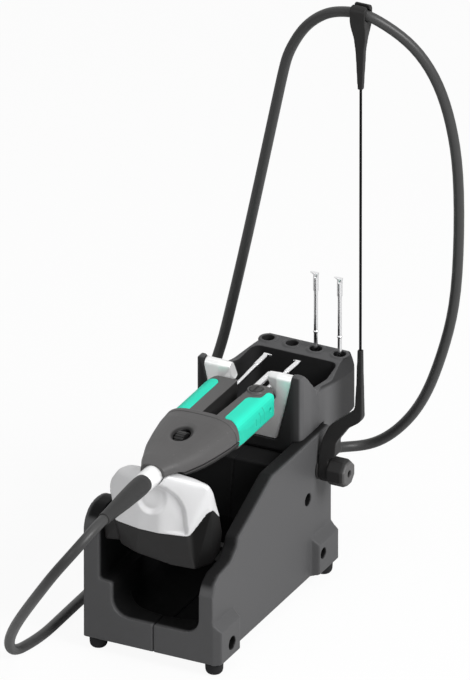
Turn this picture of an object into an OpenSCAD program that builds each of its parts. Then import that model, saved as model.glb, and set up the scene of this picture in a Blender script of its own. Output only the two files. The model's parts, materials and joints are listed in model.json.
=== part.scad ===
// Soldering iron station: a tool stand with a pair of thermal tweezers lying in it,
// a rack of spare cartridges and a sprung cable support.
// Pieces are drawn in the stand's frame: X across from the shells' seam, Y back from the
// front face, Z up from the underside of the shells. placed() moves that frame so that the
// origin lies on the table under the middle of the seam.

/* [Base] */
// Distance from the seam to the left outer face
base_left = 54; // [52:0.5:58]
// Distance from the seam to the right outer face
base_right = 46.5; // [45.5:0.5:52]
// Depth from the front face to the rear face
base_depth = 184; // [178:1:196]
// Height of the side walls above the underside
wall_height = 105.5; // [104:0.5:112]
// Height of the hump at the front of the left wall
left_hump = 100; // [98:0.5:104]
// Thickness of the left wall above its ledge
left_wall = 11.8; // [10:0.2:13]
// Thickness of the right wall
right_wall = 11; // [10:0.2:13]
// Width of the lower liner step inside the left wall
liner_step = 10; // [6:0.2:12]
// Height of the liner step
liner_height = 48; // [44:0.5:52]
// Height of the front lip
lip_height = 22; // [18:0.5:26]
// Depth of the trough from the front face, at the liner's height
trough_depth = 118; // [112:1:122]
// Height of the ledge that carries the tip housing
shelf_height = 95; // [92:0.5:98]
// Reach of the bosses on the right side
boss_reach = 6; // [3:0.5:8]

/* [Feet and screws] */
// Diameter of a foot
foot_d = 13; // [11:0.2:14]
// Height of a foot
foot_h = 8.6; // [7:0.1:10]
// Diameter of the screws' shanks
screw_d = 4; // [3:0.1:4.5]
// Diameter of the screws' heads
screw_head_d = 7.6; // [6.5:0.1:8.4]

/* [Tip housing] */
// Half width across the horns
horn_half = 41; // [40:0.5:44]
// Half width across the cartridge rack
rack_half = 37.5; // [36:0.5:40]
// Distance from the base's front face to the housing's front face
housing_front = 145; // [140:1:150]
// Distance from the base's front face to the rack's rear face
housing_back = 244; // [240:1:250]
// Height of the horns' tops
horn_top = 156; // [152:0.5:160]
// Height of the rack's top
rack_top = 132; // [128:0.5:136]
// Wall of the housing
housing_wall = 5; // [3.5:0.1:6]
// Spacing of the cartridge holes
hole_pitch = 18.6; // [17:0.1:19]
// Diameter of the cartridge holes
hole_d = 8.9; // [8:0.1:10]
// Half width of the slot between the stop plates
slot_half = 14.8; // [14.4:0.1:15.4]

/* [Cradle] */
// Height of the edge between cup and cover at the front
cradle_edge = 97; // [95:0.5:99]
// Wall of the cup and of the cover
cradle_wall = 2.2; // [1.6:0.1:2.6]

/* [Tool] */
// Side offset of the tool from the seam
tool_x = -1.2; // [-2:0.1:0]
// Height of the neck's axis
neck_z = 138; // [137.5:0.1:139]
// Radius of the neck
neck_r = 7.2; // [6.5:0.1:7.4]
// Depth of the shells' parting line below the neck's axis
parting_drop = 2.5; // [2:0.1:3]
// Half width of the shells at their widest
shell_half = 29.3; // [28:0.1:31]
// Wall of the shells
shell_wall = 2; // [1.4:0.1:2.4]
// Radius of the thumbwheel
wheel_r = 9; // [8.6:0.1:9.4]
// Width of the thumbwheel
wheel_w = 6.5; // [5:0.1:7]
// Height of an arm
arm_height = 19; // [17:0.5:20]
// Radius of a cartridge's barrel
barrel_r = 1.5; // [1.3:0.05:1.6]
// Radius of a cartridge's tip sleeve
sleeve_r = 2; // [1.8:0.05:2.3]
// Radius of the hinge pins
pin_r = 2; // [1.6:0.1:2.2]

/* [Cable support] */
// Distance from the base's front face to the clamp's axis
clamp_y = 166.7; // [163:0.5:168]
// Height of the clamp's axis
clamp_z = 79; // [76:0.5:81]
// Distance from the seam to the upright rod
rod_x = 77.6; // [76:0.1:79]
// Radius of the upright rod
rod_r = 0.95; // [0.8:0.05:1.2]
// Height of the rod's top, where the clip begins
rod_top = 381; // [376:1:384]
// Diameter of the cable
cable_d = 7.5; // [6.8:0.1:7.8]

/* [Hidden] */

// Clearances
seat_gap = 0.2;      // between pieces that are screwed or pushed together
bore_gap = 0.05;     // radial, round a shaft that turns
moving_gap = 0.4;    // between pieces that pass each other
seam_gap = 0.9;      // width of the groove along the shells' seam

// Base, worked out from the driving sizes
left_in = base_left - left_wall;          // inner face of the left wall
liner_in = left_in - liner_step;          // inner face of the liner below its step
right_in = base_right - right_wall;       // inner face of the right wall
trough_lean = 7;                          // how far the trough's rear wall leans back
plate_recess = 3.4;                       // depth of the pocket under the floor
foot_inset = 7.5;                         // a foot's centre from the front face
foot_left_x = -(base_left - 8);
foot_right_x = base_right - 2.5;
foot_rear_y = base_depth - 7;
room_front = trough_depth + trough_lean + 4;
room_back = base_depth - 3.5;
room_floor = 6;
room_top = shelf_height - 5;
room_left = left_in - 0.5;
room_right = right_in - 1.5;
upper_screw_y = base_depth - 36;
upper_screw_z = 62;                       // the blind hole high on the right wall
front_screw_y = 18.4;
front_screw_z = 11.6;
front_boss_d = 32;
front_boss_h = 27;
socket_x = 24;
socket_z = 63;
socket_d = 15;
board_y = base_depth - 34;
board_z = [22, 82];
board_half = 26;

// Tip housing
rack_y = housing_back - 10;               // row of the cartridge holes
rack_front = housing_back - 22;
rack_under = shelf_height - 4;            // underside of the overhanging rack
housing_floor = shelf_height + housing_wall;
horn_depth = 31;
hole_xs = [for (i = [0:3]) (i - 1.5) * hole_pitch];
rim_d = hole_d + 5.7;
wide_depth = 18;                          // the hole's wide upper part
guide_r = 2.95;                           // the narrow lower part
plate_bottom = housing_floor + 5;         // lower edge of the stop plates
plate_low_half = 23.5;
window_half = horn_half - 7;
plate_y = housing_front + 1;
plate_t = 3.5;

// Cradle
cradle_rim_y = 15.2;
saddle_r = neck_r + 0.3;

// Tool
tool_mid = neck_z - 1.5;                  // height of the cartridges' axis
pivot_x = 13;
pivot_y = 60;
toe = 1.8;                                // each cartridge's angle to the tool's axis
bore_x = 10.6;                            // the barrel's distance from the axis at the arm's end
arm_end = housing_front - 1.2;
arm_low = tool_mid - arm_height / 2;
arm_high = arm_low + arm_height;
shell_front = 2;
shell_back = 79;
arm_start = shell_back + 1;
tang_low = tool_mid - 4.9;
tang_high = tool_mid + 6;
wheel_y = 47;
wheel_z = neck_z + 3.2;
parting_z = neck_z - parting_drop;
cap_x = 13.7;
cap_y = 135;
cap_r = 5;
sleeve_front = -12;
sleeve_back = 18;
relief_end = -73;
barrel_front = 92;
tip_start = 185;
tip_end = 200;

// Cable support
wasp = 1.3;                               // washer between wall and arm
arm_x0 = base_right + wasp + 0.2;
arm_plate = 7.5;
knob_x0 = arm_x0 + arm_plate + 0.3;
knob_len = 13.4;
knob_r = 10.3;
stud_r = 3;
post_top = 178;
clip_top = rod_top + 66;
clip_eye_z = rod_top + 58.5;
clip_eye_r = cable_d / 2 + 0.7;

// The cable's route, by hand: along the middle of the cable, in the stand's frame
cable_r = cable_d / 2;
table_z = cable_r - foot_h;
tool_route = [
  [tool_x, relief_end, neck_z], [-1.4, -80, 137.4], [-2.2, -90, 135.4], [-5, -100, 130.5], [-11, -107.5, 121.5],
  [-21, -109, 108], [-33, -103.5, 91], [-46, -94, 73], [-59, -82.5, 55], [-71, -70, 38],
  [-81, -57.8, 22.4], [-87.7, -48, 9.5], [-90.6, -38.3, -0.7], [-89.8, -29.5, -4.4], [-88.3, -22.5, table_z]
];
rising_route = [
  [-88.3, -22.5, table_z], [-86.3, -13, table_z], [-84.8, 1, table_z], [-84.6, 16, table_z],
  [-85.1, 50, table_z], [-85.2, 128, table_z], [-85.3, 149, -2.4], [-85, 168, 4.8],
  [-83.2, 185, 19], [-79.5, 195.5, 36], [-74, 204.5, 62], [-64.5, 212, 96], [-55.6, 215.6, 128],
  [-49.4, 213, 149], [-27.6, 201.1, 226.4], [1.7, 184.3, 337.7], [12.2, 178.4, 377.3],
  [16.9, 176.5, 391.9], [27.3, 173.6, 411.1], [37.3, 172.2, 422.8], [47.3, 170.9, 430.7],
  [57.3, 169.5, 435.7], [70, 167.2, 439.2]
];
clip_route = [[70, 167.2, 439.2], [77.6, 166.7, 439.5], [85, 167.3, 439]];
return_route = [
  [85, 167.3, 439], [104.2, 177, 424], [118.7, 184, 405], [129.2, 190, 379], [134.8, 196, 345],
  [135.1, 205, 301], [125.6, 222, 219], [115.2, 230, 173], [98, 240, 127], [86, 246, 103.4],
  [74.8, 249.3, 86], [61, 250, 70.2], [47.8, 247.5, 60.8], [36, 241.5, 58.4], [27.6, 230.5, 60.8],
  [24, 216, 63]
];
relief_back = 216;

// Colours
charcoal = [0.2, 0.2, 0.21];
graphite = [0.13, 0.13, 0.14];
silver = [0.8, 0.81, 0.82];
mint = [0.16, 0.8, 0.67];
steel = [0.6, 0.61, 0.63];

// ---- outlines and helpers ----

function unit(v) = v / norm(v);

// The points of one corner, rounded to radius r where its sides leave room.
function corner(a, b, c, r, n) =
  let (u = unit(a - b), v = unit(c - b), half = acos(max(-1, min(1, u * v))) / 2)
  r <= 0 || half > 89 ? [b] :
  let (
    cut = min(r / tan(half), 0.49 * norm(a - b), 0.49 * norm(c - b)),
    rr = cut * tan(half),
    centre = b + unit(u + v) * rr / sin(half),
    p = b + u * cut - centre,
    q = b + v * cut - centre,
    a0 = atan2(p.y, p.x),
    turn = atan2(p.x * q.y - p.y * q.x, p * q)
  )
  [for (i = [0:n]) centre + rr * [cos(a0 + turn * i / n), sin(a0 + turn * i / n)]];

// A closed outline from [x, y, corner radius] points.
function rounded(pts, n = 5) = [
  for (i = [0:len(pts) - 1])
    let (a = pts[(i + len(pts) - 1) % len(pts)], b = pts[i], c = pts[(i + 1) % len(pts)])
    each corner([a.x, a.y], [b.x, b.y], [c.x, c.y], b.z, n)
];

// A point on the smooth curve through four neighbours, t from 0 to 1 between b and c.
function glide(a, b, c, d, t) =
  0.5 * (2 * b + (c - a) * t + (2 * a - 5 * b + 4 * c - d) * t * t + (3 * b - a - 3 * c + d) * t * t * t);

// The route with extra points between its own, on a smooth curve.
function smooth(route, n) = [
  for (i = [0:len(route) - 2])
    let (
      b = route[i],
      c = route[i + 1],
      a = i > 0 ? route[i - 1] : 2 * b - c,
      d = i + 2 < len(route) ? route[i + 2] : 2 * c - b
    )
    for (k = [0:n - 1]) glide(a, b, c, d, k / n),
  route[len(route) - 1]
];

module placed() {
  translate([0, -base_depth / 2, foot_h]) children();
}

module in_tool() {
  placed() translate([tool_x, 0, 0]) children();
}

// An outline in (Y, Z), as thick as x0 to x1.
module along_x(x0, x1) {
  translate([x0, 0, 0]) rotate([90, 0, 90]) linear_extrude(x1 - x0) children();
}

// An outline in (X, Z), as thick as y0 to y1.
module along_y(y0, y1) {
  translate([0, y1, 0]) rotate([90, 0, 0]) linear_extrude(y1 - y0) children();
}

// An outline in (X, Y), as thick as z0 to z1.
module along_z(z0, z1) {
  translate([0, 0, z0]) linear_extrude(z1 - z0) children();
}

module rod_x_axis(x0, x1, r, sides = 48) {
  translate([x0, 0, 0]) rotate([0, 90, 0]) cylinder(h = x1 - x0, r = r, $fn = sides);
}

module rod_y_axis(y0, y1, r, sides = 48) {
  translate([0, y0, 0]) rotate([-90, 0, 0]) cylinder(h = y1 - y0, r = r, $fn = sides);
}

// A screw along +Z with its head's top at z = 0 and its tip at -length.
module screw(length) {
  head_h = 2.4;
  difference() {
    union() {
      translate([0, 0, -head_h]) cylinder(h = head_h, d = screw_head_d, $fn = 32);
      translate([0, 0, -length]) cylinder(h = length - head_h + 0.1, d = screw_d, $fn = 24);
    }
    translate([0, 0, -1.2]) cylinder(h = 2, d = screw_head_d * 0.45, $fn = 6);
  }
}

// A round tube along a route, as one swept solid. cut0 and cut1 are the end faces' normals.
module swept(route, r, sides, cut0, cut1) {
  n = len(route);
  function tangent(i) =
    i == 0 ? unit(cut0) : i == n - 1 ? unit(cut1) : unit(route[i + 1] - route[i - 1]);
  function level(t) = unit(cross(t, [0.31, 0.2, 0.93]));
  points = [
    for (i = [0:n - 1])
      let (t = tangent(i), u = level(t), v = cross(t, u))
      for (k = [0:sides - 1]) route[i] + r * (u * cos(360 * k / sides) + v * sin(360 * k / sides))
  ];
  faces = [
    [for (k = [0:sides - 1]) k],
    for (i = [0:n - 2]) for (k = [0:sides - 1])
      let (a = i * sides + k, b = i * sides + (k + 1) % sides)
      each [[a, a + sides, b + sides], [a, b + sides, b]],
    [for (k = [sides - 1:-1:0]) (n - 1) * sides + k]
  ];
  polyhedron(points, faces);
}

// ---- base ----

left_outline = rounded([
  [0, 0, 2], [0, left_hump, 18], [33, left_hump, 30], [49, left_hump - 16, 10],
  [housing_front - 17, left_hump - 16, 12], [housing_front + 1, wall_height, 6],
  [base_depth, wall_height, 4], [base_depth, 0, 2]
], 8);
middle_outline = rounded([[0, 0, 2], [0, wall_height, 21], [base_depth, wall_height, 4], [base_depth, 0, 2]], 8);
right_outline = rounded([
  [0, 0, 2], [0, 53, 3], [4, 61.5, 8], [12, 66, 8], [30, 68, 8], [38, 74.5, 6], [41, 81.5, 5],
  [60, 90, 30], [wall_height - 11.5, wall_height, 8], [base_depth, wall_height, 4], [base_depth, 0, 2]
]);
trough_side = [
  [-2, 0], [trough_depth, 0], [trough_depth, liner_height], [trough_depth + trough_lean, shelf_height],
  [base_depth + 2, shelf_height], [base_depth + 2, wall_height + 30], [-2, wall_height + 30]
];
trough_front = rounded([
  [-left_in, liner_height, 2], [-liner_in, liner_height - 1, 2], [-liner_in, lip_height, 15],
  [right_in, lip_height, 12], [right_in, wall_height + 30, 0], [-left_in, wall_height + 30, 0]
]);
dish_front = rounded([
  [-liner_in + 1, liner_height, 0], [-liner_in + 1, lip_height - 9, 14],
  [right_in - 1, lip_height - 9, 12], [right_in - 1, liner_height, 0]
]);

module side_boss(y0, y1, top) {
  hull() {
    translate([base_right - 1, y0, 0]) cube([1, y1 - y0, top + 5]);
    translate([base_right, y0 + 2, 1.5]) cube([boss_reach, y1 - y0 - 3, top - 2]);
  }
}

module base_block() {
  along_x(-base_left, -left_in + 1) polygon(left_outline);
  along_x(-left_in + 0.3, right_in - 1) polygon(middle_outline);
  along_x(right_in - 2, base_right) polygon(right_outline);
  side_boss(0, front_boss_d, front_boss_h);
  side_boss(base_depth - front_boss_d, base_depth, front_boss_h - 2);
}

module base_trough() {
  intersection() {
    along_x(-base_left + 1, base_right - 1) polygon(trough_side);
    along_y(-2, base_depth + 2) polygon(trough_front);
  }
  intersection() {
    along_y(14, trough_depth) polygon(dish_front);
    translate([(right_in - liner_in) / 2, 76, 0]) cylinder(h = liner_height, r = 59, $fn = 96);
  }
}

// The closed room behind the trough, less the posts that carry the board and the long screw.
module base_room() {
  difference() {
    translate([-room_left, room_front, room_floor])
      cube([room_left + room_right, room_back - room_front, room_top - room_floor]);
    for (x = [-board_half + 6, board_half - 8], z = [board_z[0] + 8, board_z[1] - 8])
      translate([x, 0, z]) rod_y_axis(room_front - 1, board_y, 4, 32);
    translate([0, upper_screw_y + 12, upper_screw_z - 46]) rod_x_axis(-base_left, base_right, 5, 32);
  }
}

module base_cuts() {
  base_trough();
  base_room();
  translate([-left_in + 2, foot_inset + 14, -1])
    cube([left_in + right_in - 4, base_depth - 2 * foot_inset - 28, plate_recess + 1]);
  // front joining screw: counterbore, clearance and pilot
  translate([0, front_screw_y, front_screw_z]) {
    rod_x_axis(base_right + boss_reach - 12, base_right + boss_reach + 2, 5);
    rod_x_axis(0, base_right, screw_d / 2 + seat_gap, 32);
    rod_x_axis(-24, 1, screw_d / 2 + bore_gap, 32);
  }
  // rear joining screw through the room's cross post
  translate([0, upper_screw_y + 12, upper_screw_z - 46]) {
    rod_x_axis(base_right - 6, base_right + boss_reach + 2, screw_head_d / 2 + seat_gap);
    rod_x_axis(0, base_right, screw_d / 2 + seat_gap, 32);
    rod_x_axis(-24, 1, screw_d / 2 + bore_gap, 32);
  }
  // blind hole high on the right wall
  translate([0, upper_screw_y, upper_screw_z]) rod_x_axis(base_right - 7, base_right + 2, 4.5);
  // clamp stud's hole
  translate([0, clamp_y, clamp_z]) rod_x_axis(base_right - 9, base_right + 1, stud_r + bore_gap);
  // the shadow gap along the seam at the front
  translate([-seam_gap / 2, -1, -1]) cube([seam_gap, 2.2, lip_height]);
  translate([-seam_gap / 2, -1, lip_height - 1.2]) cube([seam_gap, 16, 3]);
  // rear socket's hole
  translate([socket_x, 0, socket_z]) rod_y_axis(room_back - 1, base_depth + 1, socket_d / 2);
  for (p = foot_places) translate([p.x, p.y, -1]) cylinder(h = 5, r = 2.5 + seat_gap / 2, $fn = 32);
  for (p = plate_screw_places)
    translate([p.x, p.y, 0]) cylinder(h = room_floor - 0.6, r = screw_d / 2 + bore_gap, $fn = 32);
  for (x = housing_screw_xs)
    translate([x, housing_screw_y, room_top - 1]) cylinder(h = 10, r = screw_d / 2 + seat_gap, $fn = 32);
}

foot_places = [
  [foot_left_x, foot_inset], [foot_right_x, foot_inset],
  [foot_left_x, foot_rear_y], [foot_right_x, foot_rear_y]
];
plate_screw_places = [for (x = [-left_in + 10, right_in - 10], y = [32, base_depth - 32]) [x, y]];
housing_screw_xs = [-22, 22];
housing_screw_y = base_depth - 26;

module base_whole() {
  difference() {
    base_block();
    base_cuts();
  }
}

module base_left_shell() {
  color(charcoal) placed() intersection() {
    base_whole();
    translate([-100, -10, -10]) cube([100, 300, 200]);
  }
}

module base_right_shell() {
  color(charcoal) placed() intersection() {
    base_whole();
    translate([0, -10, -10]) cube([100, 300, 200]);
  }
}

module ballast_plate() {
  plate_t = 3;
  x0 = -left_in + 2 + seat_gap;
  y0 = foot_inset + 14 + seat_gap;
  color(steel) placed() difference() {
    translate([x0, y0, plate_recess - plate_t])
      cube([right_in - 2 - seat_gap - x0, base_depth - 2 * y0, plate_t]);
    for (p = plate_screw_places)
      translate([p.x, p.y, -1]) cylinder(h = 6, r = screw_d / 2 + seat_gap, $fn = 32);
  }
}

module base_screws() {
  color(steel) placed() for (p = plate_screw_places)
    translate([p.x, p.y, plate_recess - 3 - 2.4]) rotate([180, 0, 0]) screw(7.2);
}

module shell_screws() {
  color(steel) placed() {
    translate([base_right + boss_reach - 12 + 2.4, front_screw_y, front_screw_z])
      rotate([0, 90, 0]) screw(base_right + boss_reach - 12 + 2.4 + 22);
    translate([base_right - 6 + 2.4, upper_screw_y + 12, upper_screw_z - 46])
      rotate([0, 90, 0]) screw(base_right - 6 + 2.4 + 22);
  }
}

module foot(place) {
  color(graphite) placed() translate([place.x, place.y, 0]) rotate_extrude($fn = 48) polygon([
    [0, -foot_h], [foot_d / 2 - 3.2, -foot_h], [foot_d / 2 - 1.6, -foot_h + 0.7],
    [foot_d / 2 - 0.6, -foot_h + 2], [foot_d / 2 - 0.2, -foot_h + 3.6], [foot_d / 2, 0], [2.5, 0], [2.5, 3.6], [0, 3.6]
  ]);
}

module foot_front_left() { foot(foot_places[0]); }
module foot_front_right() { foot(foot_places[1]); }
module foot_rear_left() { foot(foot_places[2]); }
module foot_rear_right() { foot(foot_places[3]); }

// ---- electrics ----

module rear_socket() {
  flange_r = socket_d / 2 + 2;
  color(graphite) placed() translate([socket_x, 0, socket_z]) difference() {
    union() {
      rod_y_axis(base_depth, base_depth + 2, flange_r);
      rod_y_axis(room_back - 12, base_depth + 1, socket_d / 2 - seat_gap);
    }
    rod_y_axis(room_back - 8, base_depth + 3, 5.2);
  }
}

module socket_nut() {
  color(steel) placed() translate([socket_x, 0, socket_z]) difference() {
    rod_y_axis(room_back - 3, room_back, 9.4, 6);
    rod_y_axis(room_back - 4, room_back + 1, socket_d / 2 + bore_gap - seat_gap);
  }
}

module circuit_board() {
  color([0.1, 0.35, 0.2]) placed() {
    difference() {
      translate([-board_half, board_y, board_z[0]])
        cube([2 * board_half - 2, 1.6, board_z[1] - board_z[0]]);
      for (x = [-board_half + 6, board_half - 8], z = [board_z[0] + 8, board_z[1] - 8])
        translate([x, 0, z]) rod_y_axis(board_y - 1, board_y + 3, screw_d / 2 - 0.3, 24);
    }
    translate([-14, board_y + 1.5, 40]) cube([16, 8, 12]);
    translate([4, board_y + 1.5, 58]) cube([10, 5, 10]);
  }
}

module board_screws() {
  color(steel) placed()
    for (x = [-board_half + 6, board_half - 8], z = [board_z[0] + 8, board_z[1] - 8])
      translate([x, board_y + 1.6, z]) {
        rod_y_axis(0, 1.8, 3, 24);
        rod_y_axis(-1.6, 0.1, 1.5, 24);
      }
}

// ---- tip housing ----

housing_plan = rounded([
  [-horn_half, housing_front, 7], [horn_half, housing_front, 7],
  [horn_half, housing_front + horn_depth, 30], [rack_half, housing_back, 9],
  [-rack_half, housing_back, 9], [-horn_half, housing_front + horn_depth, 30]
]);
housing_side = rounded([
  [housing_front, shelf_height, 3], [housing_front, horn_top - 5, 4], [housing_front + 3, horn_top, 3],
  [housing_front + 8, horn_top, 5], [housing_front + 27, horn_top - 20.5, 8],
  [housing_front + 56, rack_top - 2.5, 20], [rack_front, rack_top, 3],
  [housing_back, rack_top, 3], [housing_back, rack_under, 7],
  [base_depth + 0.6, rack_under, 1], [base_depth + 0.6, shelf_height, 0]
]);
housing_face = rounded([
  [-horn_half, rack_under - 1, 0], [horn_half, rack_under - 1, 0],
  [horn_half, horn_top, 5], [-horn_half, horn_top, 5]
]);
cavity_plan = rounded([
  [-horn_half + housing_wall, housing_front + 6.5, 3], [horn_half - housing_wall, housing_front + 6.5, 3],
  [horn_half - housing_wall, housing_front + horn_depth, 30], [rack_half - housing_wall, rack_front, 6],
  [-rack_half + housing_wall, rack_front, 6], [-horn_half + housing_wall, housing_front + horn_depth, 30]
]);
window = rounded([
  [-plate_low_half, plate_bottom, 3], [plate_low_half, plate_bottom, 3],
  [window_half, horn_top - 6, 6], [window_half, horn_top + 5, 0],
  [-window_half, horn_top + 5, 0], [-window_half, horn_top - 6, 6]
]);

// The sloping shoulder that grows along one side of the rack.
module shoulder(side) {
  hull() for (end = [[housing_front + 27, 0.3, 0.3], [housing_back + 1, 7, 12]])
    translate([side * (end[0] > rack_front ? rack_half : horn_half), end[0], rack_top + 6])
      rotate([90, 0, 0]) linear_extrude(0.1)
        polygon([[-side * end[1], 0], [side * 8, 0], [side * 8, -6 - end[2]], [0, -6 - end[2]], [-side * end[1], -6]]);
}

module tip_housing() {
  color(charcoal) placed() difference() {
    union() {
      difference() {
        intersection() {
          along_z(rack_under - 1, horn_top + 1) polygon(housing_plan);
          along_x(-horn_half - 1, horn_half + 1) polygon(housing_side);
          along_y(housing_front - 1, housing_back + 1) polygon(housing_face);
        }
        for (side = [-1, 1]) shoulder(side);
      }
      for (x = hole_xs) translate([x, rack_y, rack_top - 1]) cylinder(h = 1.8, d1 = rim_d, d2 = rim_d - 1.6, $fn = 48);
    }
    along_z(housing_floor, horn_top + 5) polygon(cavity_plan);
    along_y(housing_front - 1, housing_front + 10.2) polygon(window);
    // room for the side walls of the base
    for (s = [[right_in - 0.4, 20], [-left_in - 20 + 0.4, 20]])
      translate([s[0], housing_front - 5, shelf_height - 5])
        cube([s[1], base_depth + 5.4 - housing_front, wall_height + 5.3 - shelf_height]);
    for (x = hole_xs) translate([x, rack_y, 0]) {
      translate([0, 0, rack_top - wide_depth]) cylinder(h = wide_depth + 2, d = hole_d, $fn = 48);
      translate([0, 0, rack_under + 2]) cylinder(h = rack_top - rack_under, r = guide_r, $fn = 32);
    }
    for (x = housing_screw_xs)
      translate([x, housing_screw_y, shelf_height - 1]) cylinder(h = 4.6, r = screw_d / 2 + bore_gap, $fn = 32);
  }
}

module housing_screws() {
  color(steel) placed() for (x = housing_screw_xs)
    translate([x, housing_screw_y, room_top - 2.4]) rotate([180, 0, 0]) screw(shelf_height - room_top + 5.6);
}

// A stop plate: a flat plate in the window, with a rounded top and a nose that leans back
// towards the slot. Outlines of the nose are in (Y, Z).
nose_upright = rounded([[plate_y, 137, 0], [plate_y, horn_top - 1, 4], [plate_y + 9, horn_top - 1, 4],
  [plate_y + 5.5, 137, 1]]);
nose_leaning = rounded([[plate_y + 1.3, horn_top - 4.5, 2], [plate_y + 5, horn_top - 1.2, 3],
  [plate_y + 8.5, horn_top - 3.5, 3], [plate_y + 15.3, 140, 2.5], [plate_y + 11.5, 138.2, 2], [plate_y + 5.5, 143.5, 4]]);

module stop_plate(slot_edge, outer) {
  edge = outer - seat_gap;
  shank = slot_edge + 8;
  along_y(plate_y, plate_y + plate_t) polygon(rounded([
    [0.1, plate_bottom + seat_gap, 0], [plate_low_half - seat_gap, plate_bottom + seat_gap, 3],
    [edge, horn_top - 6, 6], [edge, horn_top - 5, 0], [shank, horn_top - 5, 0],
    [shank, 139, 1], [slot_edge, 125, 2], [slot_edge, 118, 2], [0.1, 118, 0]
  ]));
  intersection() {
    along_x(shank - 0.5, edge) polygon(nose_upright);
    along_y(plate_y - 1, plate_y + 20) offset(delta = -seat_gap) polygon(window);
  }
  hull() {
    along_x(shank, shank + 0.2) polygon(nose_upright);
    along_x(slot_edge, slot_edge + 2) polygon(nose_leaning);
  }
}

module left_stop_plate() {
  color(silver) placed() mirror([1, 0, 0]) stop_plate(slot_half, window_half);
}

module right_stop_plate() {
  color(silver) placed() stop_plate(slot_half, window_half);
}

// ---- cradle ----

cradle_bottom = 66;
// Corners of the cradle's rounded body from the tool's axis: those on both sides, then
// those on the left and on the right only.
cradle_corners = [
  [34, 25, cradle_bottom], [32, 41, cradle_bottom], [28.6, 1, cradle_edge], [9, -4, cradle_edge],
  [37.7, 34, 86], [39.2, 15, cradle_edge + 16], [39.2, 27, cradle_edge + 6.5], [6, 2, 131.5]
];
cradle_left = [
  [28, 9, cradle_bottom + 9.5], [15, 6.2, cradle_bottom + 6.4], [39.5, 15.2, 118], [38.7, 15.2, 121],
  [33.3, 15.2, 129.2], [26, cradle_rim_y, 133.8], [21.5, cradle_rim_y, 133.6], [12, 13.5, 131.5]
];
cradle_right = [
  [30.6, 8.5, cradle_bottom + 3], [14, 5.5, cradle_bottom + 3.4], [39.2, 17.5, 126], [37.5, cradle_rim_y, 131.6],
  [26, cradle_rim_y, 134.5], [9, 13.5, 137], [9.5, 6, 137.4], [21, 4, 118], [14, 4, 126]
];
cradle_round = 3;
cradle_middle = [0, 20, 100];

module cradle_solid() {
  corners = [
    for (p = cradle_corners, s = [-1, 1]) [s * p.x, p.y, p.z],
    for (p = cradle_left) [-p.x, p.y, p.z],
    each cradle_right
  ];
  translate([tool_x, 0, 0]) hull() for (q = corners)
    translate(q - cradle_round * unit(q - cradle_middle)) sphere(cradle_round, $fn = 16);
}

module cradle_shell() {
  depth = 1 - cradle_wall / 34;
  difference() {
    cradle_solid();
    translate([tool_x, 62, 96]) scale(depth) translate([-tool_x, -62, -96]) cradle_solid();
    translate([tool_x, 0, neck_z]) rod_y_axis(-10, 30, saddle_r);
    translate([tool_x - saddle_r, -10, neck_z]) cube([2 * saddle_r, 40, 20]);
  }
}

// The curve, in (Y, Z), along which the cover meets the cup.
cradle_join = rounded([
  [-5, cradle_edge, 0], [2, cradle_edge, 4], [13, cradle_edge + 16, 6], [18, cradle_edge + 15, 5],
  [27, cradle_edge + 6, 3], [45, cradle_edge - 2, 0], [45, 50, 0], [-5, 50, 0]
]);

// The cup's solid left flank, which fills the space up to the wall.
module cup_flank() {
  x0 = -left_in + moving_gap + 2;
  hull() {
    for (q = [[x0, 7, 93], [x0, 9.5, 78], [x0, 28, 96], [x0, 28, 76]]) translate(q) sphere(2, $fn = 16);
    for (q = [[-30, 6.5, 92], [-29.5, 11.5, 78], [-36, 28, 96], [-33.5, 28, 76]]) translate(q) sphere(1.5, $fn = 16);
  }
}

module cradle_cup() {
  color(graphite) placed() difference() {
    union() {
      intersection() {
        cradle_shell();
        along_x(-45, 45) polygon(cradle_join);
      }
      cup_flank();
    }
    for (x = cradle_screw_xs)
      translate([x, cradle_screw_y, cradle_bottom - 1]) cylinder(h = 6, r = screw_d / 2 + seat_gap, $fn = 32);
  }
}

module cradle_cover() {
  color(silver) placed() difference() {
    cradle_shell();
    along_x(-45, 45) polygon(cradle_join);
  }
}

cradle_screw_xs = [tool_x - 15, tool_x + 15];
cradle_screw_y = 33;

// A bar between the walls, behind the cup, with a tab that the cup is screwed to.
module cradle_bracket() {
  tab_h = 3;
  tab_top = cradle_bottom - 1.1;
  color(graphite) placed() difference() {
    union() {
      translate([-left_in, 43.5, cradle_bottom - 8]) cube([left_in + right_in, 7, 12]);
      translate([tool_x - 23, 27, tab_top - tab_h]) cube([46, 17, tab_h]);
    }
    for (x = cradle_screw_xs)
      translate([x, cradle_screw_y, tab_top - tab_h - 1])
        cylinder(h = tab_h + 2, r = screw_d / 2 + seat_gap, $fn = 32);
  }
}

module cradle_screws() {
  color(steel) placed() for (x = cradle_screw_xs)
    translate([x, cradle_screw_y, cradle_bottom + cradle_wall + 2.5]) screw(8.6);
}

// ---- spare cartridges ----

spare_bottom = rack_under + 2.2;
spare_tip_z = rack_top + 46;
spare_top = rack_top + 60;

module spare_barrel(x) {
  color(silver) placed() translate([x, rack_y, spare_bottom]) rotate_extrude($fn = 32) polygon([
    [0, 0], [2.6, 0], [2.8, 0.6], [2.8, 16], [barrel_r, 20], [barrel_r, 52], [barrel_r + 0.4, 52.3],
    [barrel_r + 0.4, 53.4], [barrel_r, 53.7], [barrel_r, spare_tip_z - spare_bottom], [0, spare_tip_z - spare_bottom]
  ]);
}

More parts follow.
